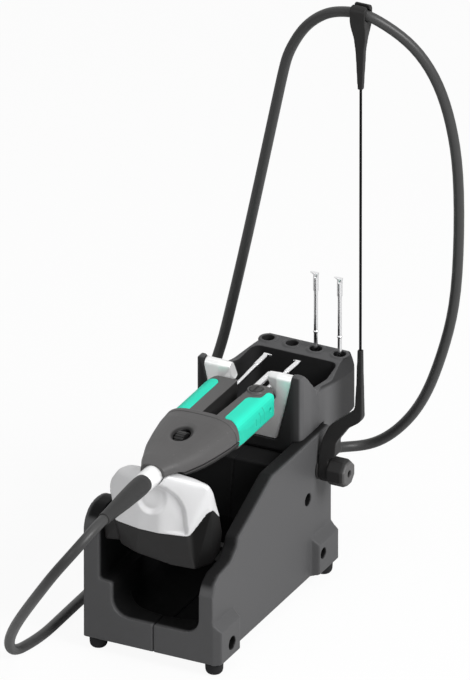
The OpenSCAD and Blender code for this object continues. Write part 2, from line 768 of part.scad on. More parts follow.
// The working end of a cartridge: a wedge on the sleeve's end that runs out to a point
// towards -X. It stands on z = 0.
module blade() {
  hull() {
    translate([0, 0, -0.5]) cylinder(h = 0.6, r = sleeve_r - 0.3, $fn = 32);
    translate([-1.6, -1.4, 2.2]) cube([3.5, 2.8, 1]);
  }
  hull() {
    translate([-1.6, -1.4, 2.2]) cube([3.5, 2.8, 1]);
    translate([-4.4, -0.7, 2.9]) cube([0.3, 1.4, 0.3]);
  }
}

module spare_tip(x) {
  color(silver) placed() translate([x, rack_y, 0]) {
    translate([0, 0, spare_tip_z]) cylinder(h = spare_top - 3.2 - spare_tip_z, r = sleeve_r, $fn = 32);
    translate([0, 0, spare_top - 3.2]) blade();
  }
}

module spare_barrel_inner() { spare_barrel(hole_xs[2]); }
module spare_barrel_outer() { spare_barrel(hole_xs[3]); }
module spare_tip_inner() { spare_tip(hole_xs[2]); }
module spare_tip_outer() { spare_tip(hole_xs[3]); }

// ---- cable support ----

module clamp_washer() {
  color(graphite) placed() translate([0, clamp_y, clamp_z]) difference() {
    rod_x_axis(base_right, base_right + wasp, 8.4);
    rod_x_axis(base_right - 1, base_right + 3, stud_r + seat_gap);
  }
}

// The arm seen from the front, in (X, Z).
support_outline = rounded([
  [arm_x0, clamp_z - 9, 3], [arm_x0 + arm_plate, clamp_z - 9, 3], [arm_x0 + arm_plate, clamp_z + 11, 1],
  [arm_x0 + 12.4, clamp_z + 13, 2], [arm_x0 + 12.4, clamp_z + 24, 8], [rod_x - 8, 116, 8],
  [rod_x + 2.4, 123.5, 8], [rod_x + 2, 150, 12], [rod_x + 1.7, post_top, 0], [rod_x - 1.7, post_top, 0],
  [rod_x - 2.4, 150, 12], [rod_x - 3.4, 131, 9], [arm_x0 + 7, 115, 10], [arm_x0 + 1.5, 103, 10], [arm_x0, 90, 6]
]);
// The arm seen from the side, in (Y, Z).
support_side = rounded([
  [clamp_y - 6.5, clamp_z - 9, 6], [clamp_y + 6.5, clamp_z - 9, 6], [clamp_y + 6, clamp_z + 12, 8],
  [clamp_y + 4, 104, 10], [clamp_y + 2.6, 135, 10], [clamp_y + 1.7, post_top, 0],
  [clamp_y - 1.7, post_top, 0], [clamp_y - 2.6, 135, 10], [clamp_y - 4, 104, 10], [clamp_y - 6, clamp_z + 12, 8]
]);

module support_arm() {
  color(graphite) placed() difference() {
    intersection() {
      along_y(clamp_y - 10, clamp_y + 10) polygon(support_outline);
      along_x(arm_x0 - 1, rod_x + 10) polygon(support_side);
    }
    translate([0, clamp_y, clamp_z]) rod_x_axis(arm_x0 - 1, arm_x0 + 20, stud_r + bore_gap);
    translate([rod_x, clamp_y, post_top - 12]) cylinder(h = 13, r = rod_r, $fn = 24);
  }
}

module clamp_knob() {
  color(graphite) placed() translate([0, clamp_y, clamp_z]) difference() {
    union() {
      rotate([22.5, 0, 0]) {
        rod_x_axis(knob_x0, knob_x0 + knob_len - 3, knob_r, 8);
        translate([knob_x0 + knob_len - 3.01, 0, 0]) rotate([0, 90, 0])
          cylinder(h = 3.01, r1 = knob_r, r2 = knob_r - 1.6, $fn = 8);
      }
      rod_x_axis(base_right - 8, knob_x0 + 1, stud_r, 32);
    }
    rod_x_axis(knob_x0 + knob_len - 4, knob_x0 + knob_len + 1, 2.6, 32);
  }
}

module support_rod() {
  color(graphite) placed() translate([rod_x, clamp_y, post_top - 12])
    cylinder(h = rod_top + 8 - post_top + 12, r = rod_r, $fn = 24);
}

// The clip seen from the front, in (X, Z), without its eye.
clip_outline = rounded([
  [rod_x - 1.8, rod_top, 0.8], [rod_x + 1.8, rod_top, 0.8], [rod_x + 3.2, rod_top + 30, 20],
  [rod_x + 5.6, rod_top + 48, 10], [rod_x + 6, clip_top, 2], [rod_x - 6, clip_top, 2],
  [rod_x - 5.6, rod_top + 48, 10], [rod_x - 3.2, rod_top + 30, 20]
]);
clip_side = rounded([
  [clamp_y - 1.8, rod_top, 0.8], [clamp_y + 1.8, rod_top, 0.8], [clamp_y + 2.6, rod_top + 40, 14],
  [clamp_y + 6.4, rod_top + 54, 6], [clamp_y + 6.4, clip_top, 5], [clamp_y - 6.4, clip_top, 5],
  [clamp_y - 6.4, rod_top + 54, 6], [clamp_y - 2.6, rod_top + 40, 14]
]);

module cable_clip() {
  color(graphite) placed() difference() {
    intersection() {
      along_y(clamp_y - 10, clamp_y + 10) polygon(clip_outline);
      along_x(rod_x - 10, rod_x + 10) polygon(clip_side);
    }
    translate([0, clamp_y, clip_eye_z]) rod_x_axis(rod_x - 10, rod_x + 10, clip_eye_r);
    // the slit the cable is pressed in through
    translate([rod_x - 10, clamp_y - 1.6, clip_eye_z]) cube([20, 3.2, 20]);
    translate([rod_x, clamp_y, rod_top - 1]) cylinder(h = 9, r = rod_r, $fn = 24);
  }
}

// ---- tool ----

// Half width, top, underside and parting height of the shells, by distance from the front face.
shell_width = [[2, 9.4], [8, 12], [17, 16.2], [35, 22.6], [50, 25.8], [66, 28.4], [79, shell_half]];
shell_top = [for (p = [[2, 7.8], [12, 8.8], [30, 10], [50, 12], [66, 13.6], [79, 14.4]]) [p.x, neck_z + p.y]];
shell_low = [for (p = [[19, -5.8], [24, -8.4], [45, -10.8], [79, -12]]) [p.x, neck_z + p.y]];
shell_mid = [[2, neck_z + 0.2], [14, neck_z + 0.2], [18.6, parting_z], [79, parting_z]];

// One half of a shell: stations along Y, each a half oval over the parting height.
module half_shell(y0, y1, edge, up, inset) {
  sides = 20;
  stations = 18;
  function ring(y) =
    let (
      w = lookup(y, shell_width) - inset,
      mid = lookup(y, shell_mid),
      rise = up ? lookup(y, edge) - inset - mid : mid - lookup(y, edge) - inset
    )
    [
      for (k = [0:sides])
        let (a = 180 * k / sides, c = cos(a), s = sin(a))
        [w * sign(c) * pow(abs(c), 0.62), y, mid + (up ? 1 : -1) * rise * pow(s, 0.8)],
    ];
  rings = [for (i = [0:stations]) ring(y0 + (y1 - y0) * i / stations)];
  m = sides + 1;
  points = [for (r = rings) each r];
  function quad(a, b, c, d) = up ? [[c, b, a], [d, c, a]] : [[a, b, c], [a, c, d]];
  function lid(first) = [for (k = [0:m - 1]) first + k];
  function flipped(face) = [for (k = [len(face) - 1:-1:0]) face[k]];
  faces = [
    for (i = [0:stations - 1]) for (k = [0:m - 1])
      let (a = i * m + k, b = i * m + (k + 1) % m) each quad(a, a + m, b + m, b),
    up ? flipped(lid(0)) : lid(0),
    up ? lid(stations * m) : flipped(lid(stations * m))
  ];
  polyhedron(points, faces);
}

module wheel_slot() {
  translate([-wheel_w / 2 - 0.7, wheel_y - 8.5, wheel_z]) cube([wheel_w + 1.4, 17, 6]);
  translate([0, wheel_y, wheel_z + 5.9]) scale([wheel_w / 2 + 2.2, 9, 1]) cylinder(h = 20, r = 1, $fn = 48);
}

module tool_upper_shell() {
  color(graphite) in_tool() difference() {
    union() {
      difference() {
        half_shell(shell_front, shell_back, shell_top, true, 0);
        half_shell(shell_front + 3, shell_back + 1, shell_top, true, shell_wall);
      }
      // bosses that hold the hinge pins and the wheel's axle
      for (s = [-1, 1]) translate([s * pivot_x, pivot_y, neck_z + 8.2]) cylinder(h = 3, r = 4, $fn = 32);
      for (s = [-1, 1])
        translate([s * (wheel_w / 2 + 2.6) - 1.2, wheel_y - 2.5, wheel_z - 2.5]) cube([2.4, 5, 10]);
      for (y = tool_screw_ys)
        translate([0, y, parting_z + 0.3]) cylinder(h = lookup(y, shell_top) - parting_z - 1.3, r = 3, $fn = 32);
    }
    translate([0, 0, neck_z]) rod_y_axis(0, sleeve_back + 0.2, neck_r + bore_gap);
    wheel_slot();
    translate([0, wheel_y, wheel_z]) rod_x_axis(-8, 8, 1 + bore_gap, 24);
    for (s = [-1, 1]) translate([s * pivot_x, pivot_y, neck_z + 2]) cylinder(h = 8, r = pin_r, $fn = 32);
    for (y = tool_screw_ys) translate([0, y, neck_z - 8]) cylinder(h = 12.4, r = tool_screw_r + bore_gap, $fn = 24);
  }
}

module tool_lower_shell() {
  color(graphite) in_tool() difference() {
    union() {
      difference() {
        half_shell(19.2, shell_back, shell_low, false, 0);
        half_shell(21.4, shell_back + 1, shell_low, false, shell_wall);
      }
      for (s = [-1, 1]) translate([s * pivot_x, pivot_y, neck_z - 10.4]) cylinder(h = 2, r = 4, $fn = 32);
      for (y = tool_screw_ys) let (low = lookup(y, shell_low))
        translate([0, y, low + 1]) cylinder(h = parting_z - low - 1.3, r = 3, $fn = 32);
    }
    translate([0, 0, neck_z]) rod_y_axis(0, sleeve_back + 0.2, neck_r + bore_gap);
    for (s = [-1, 1]) translate([s * pivot_x, pivot_y, neck_z - 9.4]) cylinder(h = 20, r = pin_r, $fn = 32);
    for (y = tool_screw_ys) translate([0, y, neck_z - 18]) {
      cylinder(h = 20, r = tool_screw_r + bore_gap, $fn = 24);
      cylinder(h = lookup(y, shell_low) + 19.2 - neck_z, r = 2.4 + seat_gap, $fn = 24);
    }
  }
}

tool_screw_ys = [28, 72];
tool_screw_r = 1.3;

module tool_screws() {
  color(steel) in_tool() for (y = tool_screw_ys) translate([0, y, lookup(y, shell_low)]) {
    translate([0, 0, -0.2]) cylinder(h = 1.4, r = 2.4, $fn = 24);
    translate([0, 0, 1]) cylinder(h = neck_z + 3 - lookup(y, shell_low), r = tool_screw_r, $fn = 24);
  }
}

module neck_sleeve() {
  color(silver) in_tool() translate([0, 0, neck_z]) rotate([-90, 0, 0]) rotate_extrude($fn = 64) polygon([
    [4.4, sleeve_front], [neck_r - 0.4, sleeve_front], [neck_r, sleeve_front + 0.6],
    [neck_r, sleeve_back], [4.4, sleeve_back]
  ]);
}

module strain_relief() {
  color(graphite) in_tool() translate([0, 0, neck_z]) rotate([90, 0, 0]) rotate_extrude($fn = 48) polygon([
    [0, -sleeve_front - 8], [4.2, -sleeve_front - 8], [4.2, -sleeve_front], [6.6, -sleeve_front],
    [7, -sleeve_front + 5], [6.9, -sleeve_front + 14], [6.3, -sleeve_front + 28], [5.3, -sleeve_front + 44],
    [4.6, -sleeve_front + 56], [4.5, -relief_end], [0, -relief_end]
  ]);
}

module thumbwheel() {
  ribs = 24;
  color(graphite) in_tool() translate([0, wheel_y, wheel_z]) difference() {
    rod_x_axis(-wheel_w / 2, wheel_w / 2, wheel_r, 72);
    rod_x_axis(-wheel_w, wheel_w, 1 + bore_gap, 24);
    for (i = [0:ribs - 1]) rotate([360 * i / ribs, 0, 0])
      translate([-wheel_w, wheel_r - 0.7, -0.5]) cube([2 * wheel_w, 2, 1]);
  }
}

module thumbwheel_axle() {
  color(steel) in_tool() translate([0, wheel_y, wheel_z]) rod_x_axis(-7.2, 7.2, 1, 24);
}

module hinge_pins() {
  color(steel) in_tool() for (s = [-1, 1])
    translate([s * pivot_x, pivot_y, neck_z - 9.3]) cylinder(h = 18.8, r = pin_r - 0.02, $fn = 32);
}

// Two torsion springs, each drawn as its stack of turns.
module hinge_springs() {
  color(steel) in_tool() for (s = [-1, 1])
    translate([s * pivot_x, pivot_y, tang_high + 0.4]) rotate_extrude($fn = 32) union() {
      translate([pin_r + 0.3, 0.2]) square([0.8, 2.9]);
      for (i = [0:3]) translate([pin_r + 1.1, 0.5 + 0.76 * i]) circle(r = 0.4, $fn = 16);
    }
}

// Plan of an arm behind the shells, in (X, Y) from the tool's axis; inner is where its
// inner face ends.
function arm_plan(inner, slim) = rounded([
  [5.2, arm_start, 2], [27.2, arm_start, 2], [28.6 - slim / 2, 92, 20], [28.4 - slim, 134, 10],
  [23, arm_end - 1, 6], [18, arm_end, 4], [inner, arm_end, 2]
]);
// Its section in (X, Z), with a broad round outer side.
arm_section = rounded([
  [2, arm_low, 2], [28.8, arm_low, 6], [28.8, arm_high, 12.8], [2, arm_high, 3]
], 8);
tang_plan = rounded([
  [4.4, 53, 4], [19, 53, 6], [20.4, 70, 10], [20.4, arm_start + 4, 0], [5.6, arm_start + 4, 0]
]);
grip_plan_left = rounded([
  [15.4, arm_start + 8, 4], [24, arm_start + 4, 8], [31, arm_start - 1, 0], [40, arm_start - 1, 0],
  [40, 138, 0], [17.5, 138, 3], [15.4, 134, 4]
]);
grip_plan_right = rounded([
  [12.5, arm_start + 7, 3], [18, arm_start + 7, 5], [30, arm_start - 1, 0], [40, arm_start - 1, 0],
  [40, 138, 0], [22, 138, 3], [21.4, 126, 4], [12.5, 123, 4]
]);
grip_section = rounded([
  [15, arm_low + 2, 0], [26.6, arm_low + 2, 4.5], [26.6, arm_high - 2, 10.4], [11, arm_high - 1.6, 0], [11, arm_low + 2, 0]
], 8);

module arm_volume(inner, slim) {
  intersection() {
    along_z(arm_low, arm_high) polygon(arm_plan(inner, slim));
    along_y(arm_start - 5, arm_end + 5) polygon(arm_section);
  }
}

// What the grip takes: the arm's outer skin over the grip's plan.
module grip_skin(inner, slim, plan) {
  difference() {
    intersection() {
      arm_volume(inner, slim);
      along_z(arm_low + 3, arm_high + 5) polygon(plan);
    }
    along_y(arm_start - 5, arm_end + 5) polygon(grip_section);
  }
}

module cartridge_line(side) {
  translate([side * bore_x, arm_end, tool_mid]) rotate([0, 0, -side * toe]) children();
}

module arm_blank(inner, slim, plan) {
  difference() {
    union() {
      difference() {
        arm_volume(inner, slim);
        grip_skin(inner, slim, plan);
      }
      along_z(tang_low, tang_high) polygon(tang_plan);
    }
    cartridge_line(1) rod_y_axis(barrel_front - arm_end - 0.3, 20, barrel_r + bore_gap, 32);
    translate([pivot_x, pivot_y, tang_low - 1]) cylinder(h = 20, r = pin_r + bore_gap - 0.02, $fn = 32);
  }
}

left_inner = 4.6;
right_inner = 8.4;
left_slim = 1.8;                          // how much slimmer the left arm is at its end
right_slim = 0;

module left_arm() {
  color(graphite) in_tool() mirror([1, 0, 0]) arm_blank(left_inner, left_slim, grip_plan_left);
}

module right_arm() {
  color(graphite) in_tool() difference() {
    union() {
      arm_blank(right_inner, right_slim, grip_plan_right);
      translate([cap_x, cap_y, arm_high - 1]) cylinder(h = 2.2, r = cap_r + 1.3, $fn = 48);
    }
    translate([cap_x, cap_y, arm_high]) cylinder(h = 3, r = cap_r + bore_gap + 0.05, $fn = 48);
    translate([cap_x, cap_y, arm_high - 5]) cylinder(h = 6, r = 2 + bore_gap, $fn = 32);
    translate([stop_x, 0, stop_z]) rod_y_axis(stop_front - 0.2, arm_end + 2, stop_r + 0.02, 32);
  }
}

module left_grip() {
  color(mint) in_tool() mirror([1, 0, 0]) grip_skin(left_inner, left_slim, grip_plan_left);
}

module right_grip() {
  color(mint) in_tool() difference() {
    grip_skin(right_inner, right_slim, grip_plan_right);
    translate([0, 128, arm_low + 10.5]) rod_x_axis(20, 40, 1.6, 24);
  }
}

module alignment_cap() {
  color(graphite) in_tool() translate([cap_x, cap_y, 0]) difference() {
    union() {
      translate([0, 0, arm_high + 0.05]) cylinder(h = 1.3, r = cap_r, $fn = 48);
      translate([0, 0, arm_high - 4.8]) cylinder(h = 5, r = 2, $fn = 32);
    }
    translate([-0.6, -8, arm_high + 0.7]) cube([1.2, 16, 2]);
  }
}

stop_x = 7.2;
stop_z = neck_z + 3.5;
stop_r = 2.2;
stop_front = 120;
stop_back = 169;

module stop_rod() {
  color(silver) in_tool() translate([stop_x, 0, stop_z]) rod_y_axis(stop_front, stop_back, stop_r, 32);
}

module barrel(side) {
  color(silver) in_tool() cartridge_line(side)
    rod_y_axis(barrel_front - arm_end, tip_start - arm_end, barrel_r, 32);
}

// A sleeve along the cartridge with its blade pointing inwards.
module tip() {
  color(silver) in_tool() children();
}

module tip_shape() {
  cartridge_line(1) {
    rod_y_axis(tip_start - arm_end, tip_end - arm_end, sleeve_r, 32);
    translate([0, tip_end - arm_end, 0]) rotate([-90, 0, 0]) blade();
  }
}

module left_barrel() { barrel(-1); }
module right_barrel() { barrel(1); }
module left_tip() { tip() mirror([1, 0, 0]) tip_shape(); }
module right_tip() { tip() tip_shape(); }

// ---- cable ----

module cable(route, cut0, cut1, steps) {
  color(graphite) placed() swept(smooth(route, steps), cable_r, 14, cut0, cut1);
}

module cable_tool_run() { cable(tool_route, [0, -1, 0], [0.15, 1, 0], 3); }
module cable_rising_run() { cable(rising_route, [0.15, 1, 0], [1, 0, 0], 3); }
module cable_clip_run() { cable(clip_route, [1, 0, 0], [1, 0, 0], 3); }
module cable_return_run() { cable(return_route, [1, 0, 0], [0, -1, 0], 3); }

module connector_plug() {
  color(steel) placed() translate([socket_x, 0, socket_z]) {
    rod_y_axis(base_depth + 2.2, base_depth + 15, 8);
    rod_y_axis(room_back - 7, base_depth + 2.3, 5.1, 32);
  }
}

module connector_relief() {
  color(graphite) placed() translate([socket_x, 0, socket_z]) rotate([-90, 0, 0]) rotate_extrude($fn = 48) polygon([
    [0, base_depth + 15], [6.6, base_depth + 15], [6.2, base_depth + 20],
    [4.6, relief_back - 2], [4.5, relief_back], [0, relief_back]
  ]);
}

// ---- nodes ----

base_left_shell();
base_right_shell();
ballast_plate();
base_screws();
shell_screws();
foot_front_left();
foot_front_right();
foot_rear_left();
foot_rear_right();
rear_socket();
socket_nut();
circuit_board();
board_screws();
tip_housing();
housing_screws();
left_stop_plate();
right_stop_plate();
cradle_bracket();
cradle_cup();
cradle_cover();
cradle_screws();
spare_barrel_inner();
spare_tip_inner();
spare_barrel_outer();
spare_tip_outer();
clamp_washer();
support_arm();
clamp_knob();
support_rod();
cable_clip();
tool_upper_shell();
tool_lower_shell();
tool_screws();
neck_sleeve();
strain_relief();
thumbwheel();
thumbwheel_axle();
hinge_pins();
hinge_springs();
left_arm();
right_arm();
left_grip();
right_grip();
alignment_cap();
stop_rod();
left_barrel();
left_tip();
right_barrel();
right_tip();
cable_tool_run();
cable_rising_run();
cable_clip_run();
cable_return_run();
connector_plug();
connector_relief();
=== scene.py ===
"""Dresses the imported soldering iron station: softened mouldings, metal, rubber and cable."""

import json
import math

import bmesh
import bpy
from bpy.props import FloatProperty, FloatVectorProperty, IntProperty, PointerProperty
from mathutils import Matrix, Vector
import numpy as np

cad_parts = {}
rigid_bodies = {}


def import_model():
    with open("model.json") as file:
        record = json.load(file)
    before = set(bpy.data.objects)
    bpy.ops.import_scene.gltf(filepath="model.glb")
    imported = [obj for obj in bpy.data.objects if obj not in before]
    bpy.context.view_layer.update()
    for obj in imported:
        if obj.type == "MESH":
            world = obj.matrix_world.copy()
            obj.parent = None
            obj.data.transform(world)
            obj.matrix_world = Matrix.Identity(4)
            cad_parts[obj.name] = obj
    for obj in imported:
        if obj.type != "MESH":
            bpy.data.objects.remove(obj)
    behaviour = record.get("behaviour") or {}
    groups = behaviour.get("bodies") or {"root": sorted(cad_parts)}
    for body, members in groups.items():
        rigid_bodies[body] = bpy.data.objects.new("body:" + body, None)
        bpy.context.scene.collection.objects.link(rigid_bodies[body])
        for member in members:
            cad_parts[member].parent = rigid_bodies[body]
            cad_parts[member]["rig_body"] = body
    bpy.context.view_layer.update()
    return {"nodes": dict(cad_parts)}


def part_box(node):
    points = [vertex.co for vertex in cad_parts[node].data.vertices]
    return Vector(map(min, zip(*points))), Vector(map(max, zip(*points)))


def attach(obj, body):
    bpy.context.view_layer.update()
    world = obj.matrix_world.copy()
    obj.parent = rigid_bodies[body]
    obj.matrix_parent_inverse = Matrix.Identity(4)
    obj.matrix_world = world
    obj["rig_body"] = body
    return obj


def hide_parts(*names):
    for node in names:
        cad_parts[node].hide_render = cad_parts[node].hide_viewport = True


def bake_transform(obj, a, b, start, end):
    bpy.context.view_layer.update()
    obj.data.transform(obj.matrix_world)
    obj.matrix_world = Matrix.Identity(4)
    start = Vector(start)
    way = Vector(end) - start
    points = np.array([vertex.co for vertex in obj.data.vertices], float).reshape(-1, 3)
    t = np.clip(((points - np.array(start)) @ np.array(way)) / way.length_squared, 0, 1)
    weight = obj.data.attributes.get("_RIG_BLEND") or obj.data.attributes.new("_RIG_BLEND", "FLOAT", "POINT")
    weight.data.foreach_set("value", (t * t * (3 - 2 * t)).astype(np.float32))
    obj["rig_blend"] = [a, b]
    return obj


bl_info = {
    "name": "Soldering iron station",
    "version": (1, 0, 0),
    "blender": (4, 5, 0),
    "location": "3D View > Sidebar > Iron Station",
    "description": "Builds the looks of a tool stand with thermal tweezers around its packed frame",
    "category": "Add Mesh",
}

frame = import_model()

MM = 0.001


def colour(red, green, blue):
    """A display colour, 0 to 255, as the linear colour that shaders take."""
    linear = [c / 255 / 12.92 if c <= 10 else ((c / 255 + 0.055) / 1.055) ** 2.4 for c in (red, green, blue)]
    return (*linear, 1.0)


def tint(name, description, default):
    return FloatVectorProperty(
        name=name, description=description, default=default, size=4, min=0, max=1, subtype="COLOR"
    )


def length(name, description, default):
    return FloatProperty(
        name=name, description=description, default=default, min=0, precision=5, unit="LENGTH",
        subtype="DISTANCE",
    )


def amount(name, description, default):
    return FloatProperty(name=name, description=description, default=default, min=0)


# ---- what a user would change ----


class StationColours(bpy.types.PropertyGroup):
    charcoal: tint("Charcoal", "Moulded plastic of the base and the tip housing", colour(79, 79, 80))
    graphite: tint("Graphite", "Moulded plastic of the tool, the cup and the support", colour(79, 78, 78))
    cable: tint("Cable", "Jacket of the cable and its strain reliefs", colour(52, 52, 52))
    rubber: tint("Rubber", "The feet", colour(38, 38, 39))
    satin: tint("Satin white", "Paint of the tool's neck", colour(248, 248, 248))
    silver: tint("Silver", "Paint of the cradle's cover and the stop plates", colour(220, 220, 221))
    steel: tint("Steel", "Bright steel of the cartridges and the neck", colour(232, 232, 233))
    screw: tint("Screw steel", "Zinc of the screws, pins and springs", colour(176, 177, 180))
    mint: tint("Mint", "Soft grips of the tweezers", colour(40, 226, 194))
    board: tint("Board", "Solder mask of the circuit board", colour(28, 92, 52))
    floor: tint("Floor", "The table under the station", colour(243, 243, 243))


class StationSizes(bpy.types.PropertyGroup):
    coarse: length("Large mesh", "Mesh size on the base's shells", 0.7 * MM)
    medium: length("Middle mesh", "Mesh size on the housing and the cradle", 0.5 * MM)
    fine: length("Small mesh", "Mesh size on the tool's own pieces", 0.4 * MM)
    tiny: length("Finest mesh", "Mesh size on the wheel and the cartridge tips", 0.22 * MM)
    neck: length("Neck mesh", "Mesh size on the tool's neck", 0.352 * MM)
    grip: length("Grip mesh", "Mesh size on the soft grips", 0.3 * MM)
    parting_depth: length("Parting line", "How deep the line between the tool's shells is", 0.55 * MM)
    valley_depth: length("Valley depth", "Step of the cover beside its valley", 1.5 * MM)
    dish_depth: length("Dish depth", "How deep the cover dips under the neck", 1.6 * MM)
    scoop_depth: length("Scoop depth", "How deep the shell dips round the thumbwheel", 2.2 * MM)
    groove_depth: length("Groove depth", "Depth of the fine grooves in the right grip", 0.55 * MM)
    cable_width: length("Cable diameter", "Outside diameter of the cable", 7.5 * MM)
    cable_sides: IntProperty(name="Cable sides", description="Faces round the cable", default=28, min=8)


class StationStage(bpy.types.PropertyGroup):
    distance: length("Camera distance", "How far the camera stands from the station", 30.0)
    tall: length("Framed height", "Height of the framed area at the station", 0.4719)
    sky: amount("Sky", "Strength of the even light from all round", 0.2)
    key: amount("Key lamp", "Power of the broad lamp on the right", 38)
    above: amount("Top lamp", "Power of the soft lamp above", 9)
    front: amount("Front lamp", "Power of the soft lamp at the front", 6)
    glow: amount("Floor glow", "How far the floor is white where the camera sees it", 0.93)


# ---- node trees ----


def add(tree, kind, at, **settings):
    """A new node at a place in the tree, with its settings."""
    node = tree.nodes.new(kind)
    node.location = at
    for key, value in settings.items():
        setattr(node, key, value)
    return node


def link(tree, *pairs):
    for source, target in pairs:
        tree.links.new(source, target)


def new_group(name, inputs, outputs):
    """An empty shader node group with named sockets. Gives the tree, its input and its output node."""
    tree = bpy.data.node_groups.new(name, "ShaderNodeTree")
    for label, kind, default in inputs:
        socket = tree.interface.new_socket(name=label, in_out="INPUT", socket_type=kind)
        socket.default_value = default
    for label, kind in outputs:
        tree.interface.new_socket(name=label, in_out="OUTPUT", socket_type=kind)
    return tree, add(tree, "NodeGroupInput", (-900, 0)), add(tree, "NodeGroupOutput", (700, 0))


def grain_group():
    """Fine moulded texture: a height for the bump and a mask for the colour."""
    tree, given, made = new_group(
        "moulded grain",
        [("Scale", "NodeSocketFloat", 2600.0), ("Softness", "NodeSocketFloat", 0.6)],
        [("Height", "NodeSocketFloat"), ("Mottle", "NodeSocketFloat")],
    )
    place = add(tree, "ShaderNodeTexCoord", (-900, 300))
    fine = add(tree, "ShaderNodeTexNoise", (-600, 300))
    fine.inputs["Detail"].default_value = 3
    cells = add(tree, "ShaderNodeTexVoronoi", (-600, 0), feature="SMOOTH_F1")
    broad = add(tree, "ShaderNodeTexNoise", (-600, -300))
    broad.inputs["Scale"].default_value = 38
    broad.inputs["Detail"].default_value = 4
    blend = add(tree, "ShaderNodeMix", (-200, 200), data_type="FLOAT")
    link(
        tree,
        (place.outputs["Object"], fine.inputs["Vector"]),
        (place.outputs["Object"], cells.inputs["Vector"]),
        (place.outputs["Object"], broad.inputs["Vector"]),
        (given.outputs["Scale"], fine.inputs["Scale"]),
        (given.outputs["Scale"], cells.inputs["Scale"]),
        (given.outputs["Softness"], blend.inputs["Factor"]),
        (cells.outputs["Distance"], blend.inputs["A"]),
        (fine.outputs["Fac"], blend.inputs["B"]),
        (blend.outputs["Result"], made.inputs["Height"]),
        (broad.outputs["Fac"], made.inputs["Mottle"]),
    )
    return tree


def edge_highlight_group():
    """Painted highlight where edges stand proud, broken up so that no edge is even."""
    tree, given, made = new_group(
        "painted edge highlights", [("Reach", "NodeSocketFloat", 0.08)], [("Mask", "NodeSocketFloat")]
    )
    shape = add(tree, "ShaderNodeNewGeometry", (-900, 300))
    span = add(tree, "ShaderNodeMapRange", (-500, 300))
    span.inputs["From Min"].default_value = 0.53
    top = add(tree, "ShaderNodeMath", (-700, 100), operation="ADD")
    top.inputs[1].default_value = 0.53
    place = add(tree, "ShaderNodeTexCoord", (-900, -100))
    patches = add(tree, "ShaderNodeTexNoise", (-500, -100))
    patches.inputs["Scale"].default_value = 160
    patches.inputs["Detail"].default_value = 3
    product = add(tree, "ShaderNodeMath", (-100, 100), operation="MULTIPLY")
    link(
        tree,
        (given.outputs["Reach"], top.inputs[0]),
        (shape.outputs["Pointiness"], span.inputs["Value"]),
        (top.outputs[0], span.inputs["From Max"]),
        (place.outputs["Object"], patches.inputs["Vector"]),
        (span.outputs["Result"], product.inputs[0]),
        (patches.outputs["Fac"], product.inputs[1]),
        (product.outputs[0], made.inputs["Mask"]),
    )
    return tree


def brushed_group():
    """Fine drawn lines along one axis, for turned and drawn metal."""
    tree, given, made = new_group(
        "drawn lines",
        [("Stretch", "NodeSocketVector", (1.0, 1.0, 1.0)), ("Scale", "NodeSocketFloat", 900.0)],
        [("Lines", "NodeSocketFloat"), ("Cloud", "NodeSocketFloat")],
    )
    place = add(tree, "ShaderNodeTexCoord", (-900, 300))
    stretched = add(tree, "ShaderNodeVectorMath", (-650, 300), operation="MULTIPLY")
    lines = add(tree, "ShaderNodeTexNoise", (-400, 300))
    lines.inputs["Detail"].default_value = 4
    cloud = add(tree, "ShaderNodeTexNoise", (-400, 0))
    cloud.inputs["Scale"].default_value = 90
    link(
        tree,
        (place.outputs["Object"], stretched.inputs[0]),
        (given.outputs["Stretch"], stretched.inputs[1]),
        (stretched.outputs["Vector"], lines.inputs["Vector"]),
        (given.outputs["Scale"], lines.inputs["Scale"]),
        (place.outputs["Object"], cloud.inputs["Vector"]),
        (lines.outputs["Fac"], made.inputs["Lines"]),
        (cloud.outputs["Fac"], made.inputs["Cloud"]),
    )
    return tree


GROUP_MAKERS = {"moulded grain": grain_group, "painted edge highlights": edge_highlight_group, "drawn lines": brushed_group}


def group_node(tree, name, at, **values):
    """Places the named group, built on its first use, with this material's own values."""
    node = add(tree, "ShaderNodeGroup", at, node_tree=bpy.data.node_groups.get(name) or GROUP_MAKERS[name]())
    for key, value in values.items():
        node.inputs[key].default_value = value
    return node


def new_material(name):
    """A material with its Principled shader. Gives the material, its tree and the shader."""
    material = bpy.data.materials.new(name)
    material.use_nodes = True
    return material, material.node_tree, material.node_tree.nodes["Principled BSDF"]


def ranged(tree, source, low, high, at):
    """The source's 0 to 1 as low to high."""
    node = add(tree, "ShaderNodeMapRange", at)
    node.inputs["To Min"].default_value = low
    node.inputs["To Max"].default_value = high
    link(tree, (source, node.inputs["Value"]))
    return node.outputs["Result"]


def shaded(base, share):
    """The colour made lighter or darker by a share."""
    return (*[min(1.0, c * share) for c in base[:3]], 1.0)


def bumped(tree, height, shader, strength, distance, at):
    bump = add(tree, "ShaderNodeBump", at)
    bump.inputs["Strength"].default_value = strength
    bump.inputs["Distance"].default_value = distance
    link(tree, (height, bump.inputs["Height"]), (bump.outputs["Normal"], shader.inputs["Normal"]))


